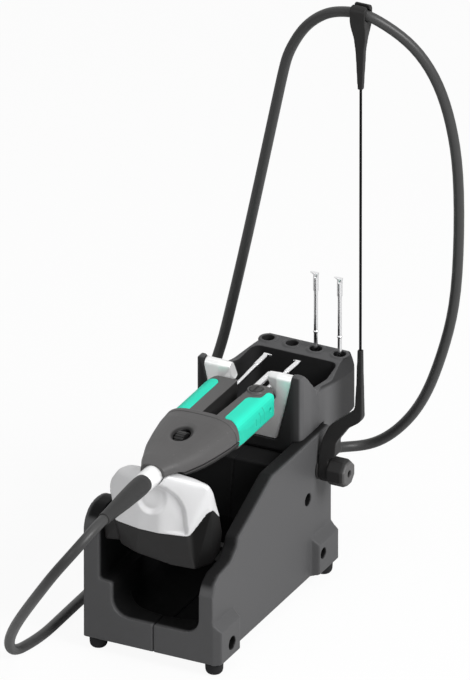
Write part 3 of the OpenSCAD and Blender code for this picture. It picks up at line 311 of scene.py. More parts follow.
def plastic(name, base, rough, grain, depth, edge_highlight, specular):
    """Moulded plastic or rubber: grain, slow mottling, a painted highlight along its proud edges, and black with
    less shine where the piece's own darkening value says: painted shade, and on the tool's shells also the dark
    lines of their joints."""
    material, tree, shader = new_material(name)
    painted_shade_and_joints = add(tree, "ShaderNodeAttribute", (-900, 600), attribute_name="painted_shade_and_joints")
    texture = group_node(tree, "moulded grain", (-900, 0), Scale=grain)
    edges = group_node(tree, "painted edge highlights", (-900, 300))
    mottled = add(tree, "ShaderNodeMix", (-600, 200), data_type="RGBA")
    mottled.inputs["A"].default_value = shaded(base, 0.9)
    mottled.inputs["B"].default_value = shaded(base, 1.1)
    # painted highlight: the colour made lighter along proud edges
    edge_lit = add(tree, "ShaderNodeMix", (-400, 200), data_type="RGBA")
    edge_lit.inputs["B"].default_value = shaded(base, edge_highlight)
    # painted shade: black, with less shine, where the piece's darkening value is high
    painted_shade_mix = add(tree, "ShaderNodeMix", (-200, 400), data_type="RGBA")
    painted_shade_mix.inputs["B"].default_value = shaded(base, 0.1)
    shine = ranged(tree, painted_shade_and_joints.outputs["Fac"], specular, specular * 0.25, (-600, 600))
    roughness = ranged(tree, texture.outputs["Mottle"], rough - 0.07, rough + 0.07, (-600, -100))
    link(
        tree,
        (texture.outputs["Mottle"], mottled.inputs["Factor"]),
        (mottled.outputs["Result"], edge_lit.inputs["A"]),
        (edges.outputs["Mask"], edge_lit.inputs["Factor"]),
        (edge_lit.outputs["Result"], painted_shade_mix.inputs["A"]),
        (painted_shade_and_joints.outputs["Fac"], painted_shade_mix.inputs["Factor"]),
        (painted_shade_mix.outputs["Result"], shader.inputs["Base Color"]),
        (shine, shader.inputs["Specular IOR Level"]),
        (roughness, shader.inputs["Roughness"]),
    )
    bumped(tree, texture.outputs["Height"], shader, depth, 0.06 * MM, (-600, -400))
    return material


def metal(name, base, rough=0.22, stretch=(1, 1, 1), depth=0.12, scale=900.0):
    """Drawn or turned metal with fine lines and a slow cloud in its polish."""
    material, tree, shader = new_material(name)
    shader.inputs["Metallic"].default_value = 1.0
    lines = group_node(tree, "drawn lines", (-900, 0), Stretch=stretch, Scale=scale)
    cloudy = add(tree, "ShaderNodeMix", (-500, 200), data_type="RGBA")
    cloudy.inputs["A"].default_value = shaded(base, 0.93)
    cloudy.inputs["B"].default_value = base
    roughness = ranged(tree, lines.outputs["Lines"], rough - 0.06, rough + 0.08, (-500, -100))
    link(
        tree,
        (lines.outputs["Cloud"], cloudy.inputs["Factor"]),
        (cloudy.outputs["Result"], shader.inputs["Base Color"]),
        (roughness, shader.inputs["Roughness"]),
    )
    bumped(tree, lines.outputs["Lines"], shader, depth, 0.04 * MM, (-500, -400))
    return material


def silver_paint(name, base):
    """Satin metallic paint: tiny flakes under a clear coat."""
    material, tree, shader = new_material(name)
    shader.inputs["Metallic"].default_value = 0.35
    shader.inputs["Coat Weight"].default_value = 0.2
    shader.inputs["Coat Roughness"].default_value = 0.12
    flakes = group_node(tree, "moulded grain", (-900, 0), Scale=5200.0, Softness=0.2)
    speckled = add(tree, "ShaderNodeMix", (-500, 200), data_type="RGBA")
    speckled.inputs["A"].default_value = base
    speckled.inputs["B"].default_value = shaded(base, 0.9)
    link(
        tree,
        (flakes.outputs["Height"], speckled.inputs["Factor"]),
        (speckled.outputs["Result"], shader.inputs["Base Color"]),
        (ranged(tree, flakes.outputs["Mottle"], 0.34, 0.44, (-500, -100)), shader.inputs["Roughness"]),
    )
    bumped(tree, flakes.outputs["Height"], shader, 0.06, 0.03 * MM, (-500, -400))
    return material


def finishes():
    """Every material by name, built on first use."""
    if "finishes" not in finishes.__dict__:
        c = bpy.context.scene.station_colours
        # each plastic's own name: colour, roughness, grain, grain's depth, painted edge highlight, specular
        plastics = {
            "charcoal": ("charcoal plastic", c.charcoal, 0.5, 2300.0, 0.35, 2.1, 0.2),
            "graphite": ("graphite plastic", c.graphite, 0.42, 3200.0, 0.2, 1.6, 0.3),
            # graphite darkened to 0.3 for the cup and its bracket in the trough: painted shade
            "cup": ("graphite plastic painted darker", shaded(c.graphite, 0.3), 0.42, 3200.0, 0.2, 1.8, 0.15),
            # the housing's charcoal made 1.25 times lighter: painted light
            "housing": ("charcoal plastic painted lighter", shaded(c.charcoal, 1.25), 0.5, 2300.0, 0.35, 2.1, 0.2),
            "relief": ("relief rubber", shaded(c.cable, 0.75), 0.5, 1900.0, 0.3, 1.4, 0.2),
            "rubber": ("foot rubber", c.rubber, 0.7, 1900.0, 0.5, 1.5, 0.1),
            "cable": ("cable jacket", c.cable, 0.42, 1500.0, 0.3, 1.2, 0.35),
            "mint": ("mint grip", c.mint, 0.55, 2400.0, 0.3, 1.12, 0.35),
            "gloss": ("cap plastic", shaded(c.graphite, 0.12), 0.28, 4200.0, 0.08, 1.35, 0.3),
            "board": ("circuit board", c.board, 0.3, 1400.0, 0.6, 1.6, 0.5),
        }
        finishes.finishes = {
            **{key: plastic(*values) for key, values in plastics.items()},
            "silver": silver_paint("silver paint", c.silver),
            "satin": silver_paint("satin paint", c.satin),
            "steel": metal("bright steel", c.steel, rough=0.2),
            "drawn": metal("drawn steel", c.steel, rough=0.16, stretch=(1, 0.06, 1)),
            "upright": metal("upright steel", c.steel, rough=0.16, stretch=(1, 1, 0.06)),
            "screw": metal("screw steel", c.screw, rough=0.32, depth=0.3, scale=1500.0),
            "black rod": metal("black rod", shaded(c.rubber, 0.5), rough=0.35, stretch=(1, 1, 0.05)),
        }
    return finishes.finishes


# ---- shapes ----


def merged_copy(*nodes):
    """One bmesh of CAD nodes with their loose triangles joined up."""
    shape = bmesh.new()
    for node in nodes:
        shape.from_mesh(frame["nodes"][node].data)
    bmesh.ops.remove_doubles(shape, verts=shape.verts, dist=0.001 * MM)
    return shape


def as_object(shape, name):
    """The bmesh as a smooth-shaded object at the origin."""
    mesh = bpy.data.meshes.new(name)
    for face in shape.faces:
        face.smooth = True
    shape.to_mesh(mesh)
    shape.free()
    made = bpy.data.objects.new(name, mesh)
    bpy.context.scene.collection.objects.link(made)
    return made


def remeshed(made, mesh_size, rounds, keep=1.0):
    """Gives the object an even skin, its edges rounded by so many rounds of smoothing."""
    skin = made.modifiers.new("skin", "REMESH")
    skin.mode = "VOXEL"
    skin.voxel_size = mesh_size
    skin.use_smooth_shade = True
    soften = made.modifiers.new("soften", "SMOOTH")
    soften.factor = 0.5
    soften.iterations = rounds
    if keep < 1:
        thin = made.modifiers.new("thin", "DECIMATE")
        thin.ratio = keep
    graph = bpy.context.evaluated_depsgraph_get()
    mesh = bpy.data.meshes.new_from_object(made.evaluated_get(graph))
    made.modifiers.clear()
    made.data = mesh
    for face in mesh.polygons:
        face.use_smooth = True
    return made


def moulded(name, node, mesh_size, rounds, keep=1.0):
    """A copy of a CAD node with soft moulded edges."""
    return remeshed(as_object(merged_copy(node), name), mesh_size, rounds, keep)


def dress(made, material, slot, *nodes):
    """Finishes a piece: its material, the nodes it stands for and their body. The slot is not used."""
    made.data.materials.clear()
    made.data.materials.append(finishes()[material])
    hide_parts(*nodes)
    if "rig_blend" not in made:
        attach(made, frame["nodes"][nodes[0]]["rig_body"])
    return made


def paint(material, *nodes):
    """A CAD node whose shape stays gets its material."""
    for node in nodes:
        mesh = frame["nodes"][node].data
        mesh.materials.clear()
        mesh.materials.append(finishes()[material])


def eased(points, steps):
    """Extra points on a smooth curve through the given ones."""
    given = [Vector(p) for p in points]
    made = []
    for i in range(len(given) - 1):
        b, c = given[i], given[i + 1]
        a = given[i - 1] if i else 2 * b - c
        d = given[i + 2] if i + 2 < len(given) else 2 * c - b
        for k in range(steps):
            t = k / steps
            square, cube = 2 * a - 5 * b + 4 * c - d, 3 * b - a - 3 * c + d
            made.append(0.5 * (2 * b + (c - a) * t + square * t * t + cube * t * t * t))
    return [*made, given[-1]]


def relaxed(route, rounds, lowest):
    """The route with its small kinks eased out, its ends kept and no point below the lowest height."""
    for _ in range(rounds):
        between = [b + (a + c - 2 * b) / 4 for a, b, c in zip(route, route[1:], route[2:])]
        route = [route[0], *between, route[-1]]
    return [Vector((p.x, p.y, max(p.z, lowest))) for p in route]


def tube(name, route, tangents, radius, sides):
    """A closed tube along the route, its rings square to the tangents."""
    shape = bmesh.new()
    turn = Vector((0, 0, 1)).rotation_difference(tangents[0]).to_matrix().to_4x4()
    ring = bmesh.ops.create_circle(
        shape, segments=sides, radius=radius, cap_ends=True, matrix=Matrix.Translation(route[0]) @ turn
    )["verts"]
    edges = [e for e in shape.edges if len(e.link_faces) <= 1]
    for i in range(1, len(route)):
        grown = bmesh.ops.extrude_edge_only(shape, edges=edges)["geom"]
        ring = [g for g in grown if isinstance(g, bmesh.types.BMVert)]
        edges = [g for g in grown if isinstance(g, bmesh.types.BMEdge) and len(g.link_faces) == 1]
        bmesh.ops.translate(shape, verts=ring, vec=route[i] - route[i - 1])
        swing = tangents[i - 1].rotation_difference(tangents[i]).to_matrix()
        bmesh.ops.rotate(shape, verts=ring, cent=route[i], matrix=swing)
    bmesh.ops.contextual_create(shape, geom=edges)
    bmesh.ops.recalc_face_normals(shape, faces=shape.faces)
    for edge in shape.edges:
        edge.smooth = all(len(face.verts) < 5 for face in edge.link_faces)
    return as_object(shape, name)


def smoothstep(x):
    x = max(0.0, min(1.0, x))
    return x * x * (3 - 2 * x)


def bell(x, width):
    """1 at x = 0, falling smoothly to 0 at the width on either side."""
    return smoothstep(1 - abs(x) / width)


def sculpted(made, move):
    """Moves every vertex by move(place, normal), a vector. All in millimetres of the frame."""
    found = [(vert.co / MM, vert.normal.copy()) for vert in made.data.vertices]
    moved = [value * MM for place, normal in found for value in place + move(place, normal)]
    made.data.vertices.foreach_set("co", moved)
    made.data.update()
    return made


def painted_dark(made, share):
    """Writes how dark each point is painted, 0 to 1, from share(place, normal) in millimetres: painted shade, and on
    the tool's shells also the dark lines of their joints.
    """
    values = [max(0.0, min(1.0, share(vert.co / MM, vert.normal))) for vert in made.data.vertices]
    made.data.attributes.new("painted_shade_and_joints", "FLOAT", "POINT").data.foreach_set("value", values)
    return made


def right_of(path, x, z):
    """How far (x, z) lies to the right of a path of (x, z) points, negative on its left."""
    nearest, side = 1e9, 1.0
    for (ax, az), (bx, bz) in zip(path, path[1:]):
        dx, dz = bx - ax, bz - az
        t = max(0.0, min(1.0, ((x - ax) * dx + (z - az) * dz) / (dx * dx + dz * dz)))
        away = math.hypot(x - ax - t * dx, z - az - t * dz)
        if away < nearest:
            nearest, side = away, 1.0 if dz * (x - ax) - dx * (z - az) < 0 else -1.0
    return nearest * side


def softened(made, hold, rounds):
    """Smooths the object's skin where hold(place) is 1 and leaves it where it is 0."""
    group = made.vertex_groups.new(name="soft")
    for vert in made.data.vertices:
        share = hold(vert.co / MM)
        if share > 0:
            group.add([vert.index], share, "REPLACE")
    soften = made.modifiers.new("soften", "SMOOTH")
    soften.factor = 0.5
    soften.iterations = rounds
    soften.vertex_group = "soft"
    graph = bpy.context.evaluated_depsgraph_get()
    mesh = bpy.data.meshes.new_from_object(made.evaluated_get(graph))
    made.modifiers.clear()
    made.vertex_groups.clear()
    made.data = mesh
    return made


# ---- the camera and the cable ----


class STATION_OT_camera(bpy.types.Operator):
    """Places a long-lens camera at the front right of the station, looking down on it"""

    bl_idname = "station.camera"
    bl_label = "Camera"

    def execute(self, context):
        stage = context.scene.station_stage
        across = Vector((0.8934, 0.4493, 0.0)).normalized()
        ahead = Vector((-0.3996, 0.7946, -0.4571)).normalized()
        up = across.cross(ahead).normalized()
        target = Vector((0.0178, 0.0, 0.2148))
        lens = bpy.data.cameras.new("station camera")
        lens.sensor_width = 36
        lens.lens = 36 * stage.distance / stage.tall
        lens.clip_start, lens.clip_end = 1, 200
        camera = bpy.data.objects.new("station camera", lens)
        context.scene.collection.objects.link(camera)
        turn = Matrix((across, up, -ahead)).transposed().to_4x4()
        camera.matrix_world = Matrix.Translation(target - ahead * stage.distance) @ turn
        context.scene.camera = camera
        return {"FINISHED"}


# The cable's route through the middle of the cable, in the frame's metres
TOOL_ROUTE = [
    (-0.0012, -0.165, 0.1466), (-0.0014, -0.172, 0.146), (-0.0022, -0.182, 0.144), (-0.005, -0.192, 0.1391),
    (-0.011, -0.1995, 0.1301), (-0.021, -0.201, 0.1166), (-0.033, -0.1955, 0.0996),
    (-0.046, -0.186, 0.0816), (-0.059, -0.1745, 0.0636), (-0.071, -0.162, 0.0466), (-0.081, -0.1498, 0.031),
    (-0.0877, -0.14, 0.0181), (-0.0906, -0.1303, 0.0079), (-0.0898, -0.1215, 0.0042),
    (-0.0883, -0.1145, 0.00375),
]
TABLE_ROUTE = [
    (-0.0883, -0.1145, 0.00375), (-0.0863, -0.105, 0.00375), (-0.0848, -0.091, 0.00375),
    (-0.0846, -0.076, 0.00375), (-0.0851, -0.042, 0.00375), (-0.0852, 0.036, 0.00375),
    (-0.0853, 0.057, 0.0062), (-0.085, 0.076, 0.0134), (-0.0832, 0.093, 0.0276), (-0.0795, 0.1035, 0.0446),
    (-0.074, 0.1125, 0.0706), (-0.0645, 0.12, 0.1046), (-0.0556, 0.1236, 0.1366), (-0.0494, 0.121, 0.1576),
    (-0.0276, 0.1091, 0.235), (0.0017, 0.0923, 0.3463), (0.0122, 0.0864, 0.3859), (0.0169, 0.0845, 0.4005),
    (0.0273, 0.0816, 0.4197), (0.0373, 0.0802, 0.4314), (0.0473, 0.0789, 0.4393), (0.0573, 0.0775, 0.4443),
    (0.07, 0.0752, 0.4478), (0.0776, 0.0747, 0.4481), (0.085, 0.0753, 0.4476), (0.1042, 0.085, 0.4326),
    (0.1187, 0.092, 0.4136), (0.1292, 0.098, 0.3876), (0.1348, 0.104, 0.3536), (0.1351, 0.113, 0.3096),
    (0.1256, 0.13, 0.2276), (0.1152, 0.138, 0.1816), (0.098, 0.148, 0.1356), (0.086, 0.154, 0.112),
    (0.0748, 0.1573, 0.0946), (0.061, 0.158, 0.0788), (0.0478, 0.1555, 0.0694), (0.036, 0.1495, 0.067),
    (0.0276, 0.1385, 0.0694), (0.024, 0.124, 0.0716),
]


class STATION_OT_cable(bpy.types.Operator):
    """Runs the cable from the tool down to the table, up through the clip and round to its plug"""

    bl_idname = "station.cable"
    bl_label = "Cable"

    def execute(self, context):
        sizes = context.scene.station_sizes
        radius = sizes.cable_width / 2
        route = relaxed(eased([*TOOL_ROUTE, *TABLE_ROUTE[1:]], 4), 6, radius)
        landing = (len(TOOL_ROUTE) - 1) * 4
        ahead = [(b - a).normalized() for a, b in zip(route, route[1:])]
        between = [(a + b).normalized() for a, b in zip(ahead, ahead[1:])]
        tangents = [Vector((0, -1, 0)), *between, Vector((0, -1, 0))]
        parts = [
            ("cable_to_tool", 0, landing + 1, "cable_tool_run"),
            ("cable_to_plug", landing, len(route), "cable_rising_run", "cable_clip_run", "cable_return_run"),
        ]
        for name, first, last, *nodes in parts:
            path = route[first:last]
            made = tube(name, path, tangents[first:last], radius, sizes.cable_sides)
            if first == 0:
                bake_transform(made, "tool", "base", start=path[0], end=path[-1])
            else:
                low, high = Vector((0, 0, 0.10)), Vector((0, 0, 0.43))
                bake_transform(made, "base", "support", start=low, end=high)
            dress(made, "cable", "cable_rubber", *nodes)
        return {"FINISHED"}


# ---- the stand ----


# Holes in the right wall and its bosses, as (y, z, radius) in millimetres
RIGHT_HOLES = ((-73.6, 20.2, 5.0), (68.0, 24.6, 4.0), (56.0, 70.6, 4.5))


def base_painted_shade(place, normal):
    """Painted shade inside the base, on the walls' tops and in the right wall's holes; none on its outer skins."""
    left, right = smoothstep((place.x + 53.0) / 2.0), smoothstep((45.6 - place.x) / 2.0)
    inside = left * right * smoothstep((place.y + 90.6) / 3.0) * smoothstep((place.z - 11.0) / 3.0)
    deep = 1.0 if place.x < -38 or place.z < 60 else 0.92
    hole = 0.0
    for y, z, radius in RIGHT_HOLES:
        hole = max(hole, smoothstep((radius + 0.4 - math.hypot(place.y - y, place.z - z)) / 0.5))
    return max(inside * deep, hole if place.x > 40 else 0.0)


def housing_painted_shade(place, normal):
    """Painted shade on the housing's front and in its hollow, less on its upward faces, none on its sides."""
    side = smoothstep((40.4 - abs(place.x)) / 1.6)
    top = smoothstep((normal.z - 0.5) / 0.3) * smoothstep((place.z - 134.0) / 4.0)
    return side * (0.8 - 0.55 * top)


class STATION_OT_base(bpy.types.Operator):
    """Makes the base's two shells, its feet and the pieces inside it"""

    bl_idname = "station.base"
    bl_label = "Base"

    def execute(self, context):
        sizes = context.scene.station_sizes
        for side in ("left", "right"):
            made = moulded(f"{side}_base_moulding", f"base_{side}_shell", sizes.coarse, 4, 0.4)
            painted_dark(made, base_painted_shade)
            dress(made, "charcoal", "charcoal", f"base_{side}_shell")
        for place in ("front_left", "front_right", "rear_left", "rear_right"):
            made = moulded(f"{place}_foot", f"foot_{place}", sizes.fine, 3)
            dress(made, "rubber", "foot_rubber", f"foot_{place}")
        paint("screw", "ballast_plate", "base_screws", "shell_screws", "board_screws")
        paint("screw", "housing_screws", "socket_nut")
        paint("board", "circuit_board")
        paint("graphite", "rear_socket")
        return {"FINISHED"}


class STATION_OT_housing(bpy.types.Operator):
    """Makes the tip housing with its cartridge rack and the two stop plates"""

    bl_idname = "station.housing"
    bl_label = "Tip housing"

    def execute(self, context):
        sizes = context.scene.station_sizes
        made = painted_dark(moulded("housing_moulding", "tip_housing", sizes.medium, 5, 0.5), housing_painted_shade)
        dress(made, "housing", "charcoal", "tip_housing")
        for side in ("left", "right"):
            made = moulded(f"{side}_stop", f"{side}_stop_plate", sizes.fine, 6)
            dress(made, "satin", "silver", f"{side}_stop_plate")
        return {"FINISHED"}


# The cover's valley, as (x, z) from the neck down to its front right corner, in millimetres
VALLEY = (
    (1.5, 140.0), (8.7, 138.1), (14.0, 134.8), (16.8, 132.4), (19.5, 129.1), (21.5, 125.6), (22.7, 122.3),
    (23.8, 117.8), (24.5, 113.6), (25.9, 109.5), (27.0, 104.0),
)
# The edge along which the cover meets the cup, as (y, z)
JOIN = (
    (-97.0, 105.6), (-90.0, 105.6), (-82.0, 117.5), (-79.0, 121.4), (-74.0, 120.2), (-65.0, 111.6),
    (-47.0, 103.6),
)
# The neck's axis and the middle of the dish under it, as (x, z)
NECK = (-1.2, 146.6)
DISH = (-1.3, 130.1)


def cover_hold(place):
    """1 on the cover's skin, 0 at its rims, so that smoothing leaves the rims where they are."""
    rim = abs(right_of(JOIN, place.y, place.z))
    notch = abs(math.hypot(place.x - NECK[0], min(0.0, place.z - NECK[1])) - 7.4)
    before_rear = 1.0 if place.y < -62.0 else 0.0
    return smoothstep((rim - 1.2) / 4.0) * smoothstep((notch - 1.0) / 3.0) * before_rear


def cover_move(place, normal):
    """The raised shoulder right of the valley, the lower front left of it, and the dish under the neck."""
    sizes = bpy.context.scene.station_sizes
    away = right_of(VALLEY, place.x, place.z)
    front = smoothstep((-73.0 - place.y) / 10.0)
    rim = smoothstep((right_of(JOIN, place.y, place.z) - 0.3) / 3.0)
    raised = smoothstep((away + 0.4) / 2.4) * smoothstep((22.0 - away) / 18.0)
    sunk = smoothstep((0.7 - away) / 2.2) * smoothstep((away + 19.0) / 17.0)
    step = (raised - 1.3 * sunk) * front * rim * sizes.valley_depth / MM
    r = math.hypot(place.x - DISH[0], place.z - DISH[1])
    dish = smoothstep((12.8 - r) / 5.0) * smoothstep((139.5 - place.z) / 4.0) * front * sizes.dish_depth / MM
    return Vector((0.42, -0.86, 0.28)) * step + Vector((0, 1, 0)) * dish


def cup_painted_shade(place, normal):
    """Painted shade on the cup's right side and underside."""
    return 0.85 * smoothstep((place.x - 27.0) / 3.0) * smoothstep((normal.x - 0.45) / 0.3)


class STATION_OT_cradle(bpy.types.Operator):
    """Makes the cradle that carries the tool: a dark cup under a silver cover"""

    bl_idname = "station.cradle"
    bl_label = "Cradle"

    def execute(self, context):
        sizes = context.scene.station_sizes
        made = painted_dark(moulded("cup_moulding", "cradle_cup", sizes.medium, 4, 0.7), cup_painted_shade)
        dress(made, "cup", "graphite", "cradle_cup")
        made = softened(moulded("cover_pressing", "cradle_cover", sizes.fine, 4), cover_hold, 220)
        dress(sculpted(made, cover_move), "silver", "silver", "cradle_cover")
        made = moulded("bracket_bar", "cradle_bracket", sizes.medium, 4, 0.5)
        dress(made, "cup", "graphite", "cradle_bracket")
        paint("screw", "cradle_screws")
        return {"FINISHED"}


class STATION_OT_spares(bpy.types.Operator):
    """Makes the two spare cartridges in the rack"""

    bl_idname = "station.spares"
    bl_label = "Spare cartridges"

    def execute(self, context):
        sizes = context.scene.station_sizes
        for place in ("inner", "outer"):
            for name, node, keep in (
                (f"{place}_spare_stem", f"spare_barrel_{place}", 0.5), (f"{place}_spare_blade", f"spare_tip_{place}", 1.0),
            ):
                dress(moulded(name, node, sizes.tiny, 2, keep), "upright", "bright_steel", node)
        return {"FINISHED"}


def support_painted_shade(place, normal):
    """Painted shade over the whole cable support except the knob's outer face."""
    return 0.78 - 0.78 * smoothstep((place.x - 67.4) / 1.0) * smoothstep((110.0 - place.z) / 2.0)


class STATION_OT_support(bpy.types.Operator):
    """Makes the cable support: washer, arm, knob, upright rod and clip"""

    bl_idname = "station.support"
    bl_label = "Cable support"

    def execute(self, context):
        sizes = context.scene.station_sizes
        for name, node, rounds in (
            ("support_casting", "support_arm", 8), ("clip_moulding", "cable_clip", 6),
            ("knob_moulding", "clamp_knob", 4), ("washer_ring", "clamp_washer", 2),
        ):
            made = painted_dark(moulded(name, node, sizes.fine, rounds), support_painted_shade)
            dress(made, "graphite", "graphite", node)
        paint("black rod", "support_rod")
        return {"FINISHED"}


class STATION_OT_plug(bpy.types.Operator):
    """Finishes the plug and its strain relief behind the base"""

    bl_idname = "station.plug"
    bl_label = "Plug"

    def execute(self, context):
        paint("steel", "connector_plug")
        paint("cable", "connector_relief")
        return {"FINISHED"}


# ---- the tool ----


# The middle of the thumbwheel, as (x, y) in millimetres
WHEEL = (-1.2, -45.0)
# The height at which the tool's shells meet, and where the ring before their rear edge lies
PARTING_Z = 144.1
RING_Y = -17.5
# The right grip's grooves, as (y, lower end, upper end) in millimetres
GROOVES = ((14.0, 142.5, 149.0), (20.5, 141.0, 151.0), (27.0, 141.5, 152.0))


def parting_line(place, normal):
    """1 in the line where the shells meet and in the ring before their rear edge, else 0."""
    line = bell(place.z - PARTING_Z, 1.0) * smoothstep((abs(place.x - WHEEL[0]) - 6.0) / 4.0)
    ring = bell(place.y - RING_Y, 0.8) if normal.z > -0.2 else 0.0
    return max(line, 0.7 * ring)


def parted(place, normal):
    """Draws the shells in along their lines."""
    return normal * -parting_line(place, normal) * bpy.context.scene.station_sizes.parting_depth / MM


def shell_shade_and_joints(place, normal):
    """Dark lines where the shells meet; painted shade in the scoop round the wheel and on the sides below the
    parting line.
    """
    away = math.hypot((place.x - WHEEL[0]) / 8.4, (place.y - WHEEL[1] - 0.5) / 11.6)
    scoop = 0.85 * smoothstep((1.0 - away) / 0.22) if place.z > 145 else 0.0
    under = 0.62 * smoothstep((PARTING_Z + 0.5 - place.z) / 2.0)
    return max(0.8 * parting_line(place, normal), scoop, under)


def groove_line(place, normal):
    """1 in the three upright grooves in the right grip's side, else 0."""
    depth = 0.0
    for y, low, high in GROOVES:
        ends = smoothstep((place.z - low) / 1.0) * smoothstep((high - place.z) / 1.0)
        depth = max(depth, bell(place.y - y, 0.8) * ends)
    return depth if place.x > 20 else 0.0


def grooved(place, normal):
    """Cuts the fine grooves into the right grip."""
    return normal * -groove_line(place, normal) * bpy.context.scene.station_sizes.groove_depth / MM


def grip_painted_shade(place, normal):
    """Painted shade in the grip's grooves and on its upright right side, which is darker than its top."""
    return max(0.75 * groove_line(place, normal), 0.33 * smoothstep((normal.x - 0.5) / 0.4))


def arm_painted_shade(place, normal):
    """Painted shade on the arms' sides that face each other."""
    facing = normal.x if place.x < WHEEL[0] else -normal.x
    return 0.8 * smoothstep((facing - 0.4) / 0.4)


class STATION_OT_shells(bpy.types.Operator):
    """Makes the tool's two shells, the thumbwheel in its scoop, the neck and the strain relief"""

    bl_idname = "station.shells"
    bl_label = "Tool shells"

    def execute(self, context):
        sizes = context.scene.station_sizes
        upper = moulded("upper_shell_moulding", "tool_upper_shell", sizes.fine, 5)
        low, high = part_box("thumbwheel")
        middle = (low + high) / 2
        scoop = Vector((9.4 * MM, 13.0 * MM))
        for vert in upper.data.vertices:
            if vert.co.z < high.z - 3.2 * MM:
                continue
            away = math.hypot((vert.co.x - middle.x) / scoop.x, (vert.co.y - middle.y - 1.5 * MM) / scoop.y)
            vert.co.z -= sizes.scoop_depth * smoothstep((1.05 - away) / 0.75)
        dress(painted_dark(sculpted(upper, parted), shell_shade_and_joints), "graphite", "graphite", "tool_upper_shell")
        lower = sculpted(moulded("lower_shell_moulding", "tool_lower_shell", sizes.fine, 4, 0.8), parted)
        dress(painted_dark(lower, shell_shade_and_joints), "graphite", "graphite", "tool_lower_shell")
        dress(moulded("ribbed_wheel", "thumbwheel", sizes.tiny, 2), "gloss", "graphite", "thumbwheel")
        dress(moulded("neck_tube", "neck_sleeve", sizes.neck, 3, 0.6), "satin", "silver", "neck_sleeve")
        relief = moulded("relief_moulding", "strain_relief", sizes.fine, 6, 0.6)
        dress(relief, "relief", "cable_rubber", "strain_relief")
        paint("screw", "tool_screws", "thumbwheel_axle", "hinge_pins", "hinge_springs")
        return {"FINISHED"}


class STATION_OT_arms(bpy.types.Operator):
    """Makes the tweezers' arms with their mint grips, cap, stop rod and cartridges"""

    bl_idname = "station.arms"
    bl_label = "Tweezer arms"

    def execute(self, context):
        sizes = context.scene.station_sizes
        for side in ("left", "right"):
            arm = painted_dark(moulded(f"{side}_arm_moulding", f"{side}_arm", sizes.fine, 4), arm_painted_shade)
            dress(arm, "graphite", "graphite", f"{side}_arm")
            grip = moulded(f"{side}_soft_grip", f"{side}_grip", sizes.grip, 3)
            dress(painted_dark(sculpted(grip, grooved), grip_painted_shade), "mint", "mint_grip", f"{side}_grip")
            for name, node, keep in ((f"{side}_stem", f"{side}_barrel", 0.5), (f"{side}_blade", f"{side}_tip", 1.0)):
                dress(moulded(name, node, sizes.tiny, 2, keep), "drawn", "bright_steel", node)
        dress(moulded("slotted_cap", "alignment_cap", sizes.tiny, 2), "gloss", "graphite", "alignment_cap")
        dress(moulded("stop_bar", "stop_rod", sizes.tiny, 2), "drawn", "bright_steel", "stop_rod")
        return {"FINISHED"}


# ---- the stage ----


def lamp(name, power, size, place, target):
    light = bpy.data.lights.new(name, "AREA")
    light.shape = "RECTANGLE"
    light.energy = power
    light.size, light.size_y = size
    made = bpy.data.objects.new(name, light)
    bpy.context.scene.collection.objects.link(made)
    aim = (Vector(target) - Vector(place)).to_track_quat("-Z", "Y")
    made.matrix_world = Matrix.Translation(place) @ aim.to_matrix().to_4x4()
    return made


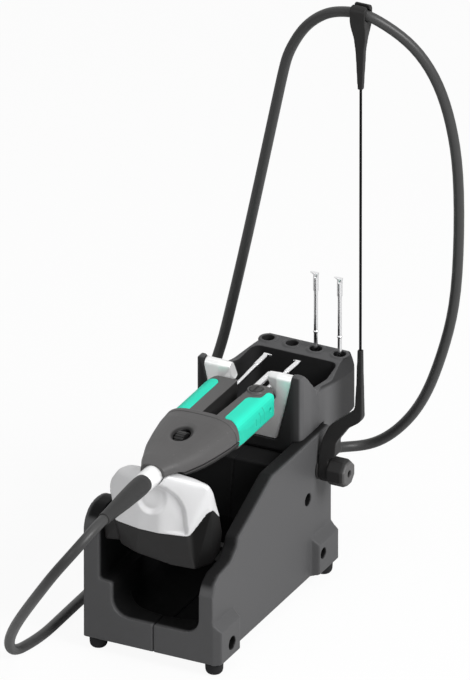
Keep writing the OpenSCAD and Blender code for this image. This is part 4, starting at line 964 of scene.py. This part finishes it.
class STATION_OT_stage(bpy.types.Operator):
    """Sets the pale floor, the white surroundings and the studio lamps"""

    bl_idname = "station.stage"
    bl_label = "Stage"

    def execute(self, context):
        stage = context.scene.station_stage
        shape = bmesh.new()
        bmesh.ops.create_grid(shape, x_segments=2, y_segments=2, size=6)
        floor = as_object(shape, "table_top")
        material, tree, shader = new_material("table top")
        shader.inputs["Roughness"].default_value = 0.8
        shader.inputs["Specular IOR Level"].default_value = 0.1
        texture = group_node(tree, "moulded grain", (-900, 0), Scale=700.0)
        pale = add(tree, "ShaderNodeMix", (-500, 200), data_type="RGBA")
        base = context.scene.station_colours.floor
        pale.inputs["A"].default_value = shaded(base, 0.99)
        pale.inputs["B"].default_value = base
        glow = add(tree, "ShaderNodeEmission", (0, -200))
        path = add(tree, "ShaderNodeLightPath", (-300, 500))
        share = add(tree, "ShaderNodeMath", (-100, 500), operation="MULTIPLY")
        share.inputs[1].default_value = stage.glow
        mixed = add(tree, "ShaderNodeMixShader", (300, 200))
        out = tree.nodes["Material Output"]
        link(
            tree,
            (texture.outputs["Mottle"], pale.inputs["Factor"]),
            (pale.outputs["Result"], shader.inputs["Base Color"]),
            (path.outputs["Is Camera Ray"], share.inputs[0]),
            (share.outputs[0], mixed.inputs["Fac"]),
            (shader.outputs["BSDF"], mixed.inputs[1]),
            (glow.outputs["Emission"], mixed.inputs[2]),
            (mixed.outputs["Shader"], out.inputs["Surface"]),
        )
        floor.data.materials.append(material)

        world = bpy.data.worlds.new("station world")
        context.scene.world = world
        world.use_nodes = True
        sky = world.node_tree
        sky.nodes.clear()
        rays = add(sky, "ShaderNodeLightPath", (-700, 300))
        camera_or_gloss = add(sky, "ShaderNodeMath", (-450, 300), operation="MAXIMUM")
        any_seen = add(sky, "ShaderNodeMath", (-250, 300), operation="MAXIMUM")
        soft = add(sky, "ShaderNodeBackground", (-250, 0))
        soft.inputs["Strength"].default_value = stage.sky
        white = add(sky, "ShaderNodeBackground", (-250, -200))
        white.inputs["Color"].default_value = (1, 1, 1, 1)
        soft.inputs["Color"].default_value = (1, 1, 1, 1)
        both = add(sky, "ShaderNodeMixShader", (0, 100))
        end = add(sky, "ShaderNodeOutputWorld", (250, 100))
        link(
            sky,
            (rays.outputs["Is Camera Ray"], camera_or_gloss.inputs[0]),
            (rays.outputs["Is Glossy Ray"], camera_or_gloss.inputs[1]),
            (camera_or_gloss.outputs[0], any_seen.inputs[0]),
            (rays.outputs["Is Transmission Ray"], any_seen.inputs[1]),
            (any_seen.outputs[0], both.inputs["Fac"]),
            (soft.outputs["Background"], both.inputs[1]),
            (white.outputs["Background"], both.inputs[2]),
            (both.outputs["Shader"], end.inputs["Surface"]),
        )
        middle = (0.02, 0.02, 0.15)
        lamp("key lamp", stage.key, (0.9, 0.9), (1.6, -0.25, 1.35), middle)
        lamp("top lamp", stage.above, (1.2, 1.2), (0.1, 0.1, 2.1), middle)
        lamp("front lamp", stage.front, (1.2, 0.8), (-0.5, -1.9, 1.1), middle)
        context.scene.view_settings.view_transform = "Standard"
        return {"FINISHED"}


# ---- the panel ----

STEPS = (
    STATION_OT_camera, STATION_OT_cable, STATION_OT_base, STATION_OT_housing, STATION_OT_cradle,
    STATION_OT_spares, STATION_OT_support, STATION_OT_plug, STATION_OT_shells, STATION_OT_arms,
    STATION_OT_stage,
)


class STATION_PT_panel(bpy.types.Panel):
    """Lists the station's sizes, colours and building steps"""

    bl_idname = "STATION_PT_panel"
    bl_label = "Soldering iron station"
    bl_space_type = "VIEW_3D"
    bl_region_type = "UI"
    bl_category = "Iron Station"

    def draw(self, context):
        for name in GROUPS:
            group = getattr(context.scene, name)
            box = self.layout.box()
            for key in group.__annotations__:
                box.prop(group, key)
        for step in STEPS:
            self.layout.operator(step.bl_idname)


GROUPS = {"station_colours": StationColours, "station_sizes": StationSizes, "station_stage": StationStage}


def register():
    for group in GROUPS.values():
        bpy.utils.register_class(group)
    for key, group in GROUPS.items():
        setattr(bpy.types.Scene, key, PointerProperty(type=group))
    for step in (*STEPS, STATION_PT_panel):
        bpy.utils.register_class(step)


def unregister():
    for step in reversed((*STEPS, STATION_PT_panel)):
        bpy.utils.unregister_class(step)
    for key, group in reversed(GROUPS.items()):
        delattr(bpy.types.Scene, key)
        bpy.utils.unregister_class(group)


def main():
    register()
    for step in STEPS:
        group, name = step.bl_idname.split(".")
        getattr(getattr(bpy.ops, group), name)()


if __name__ == "__main__":
    main()
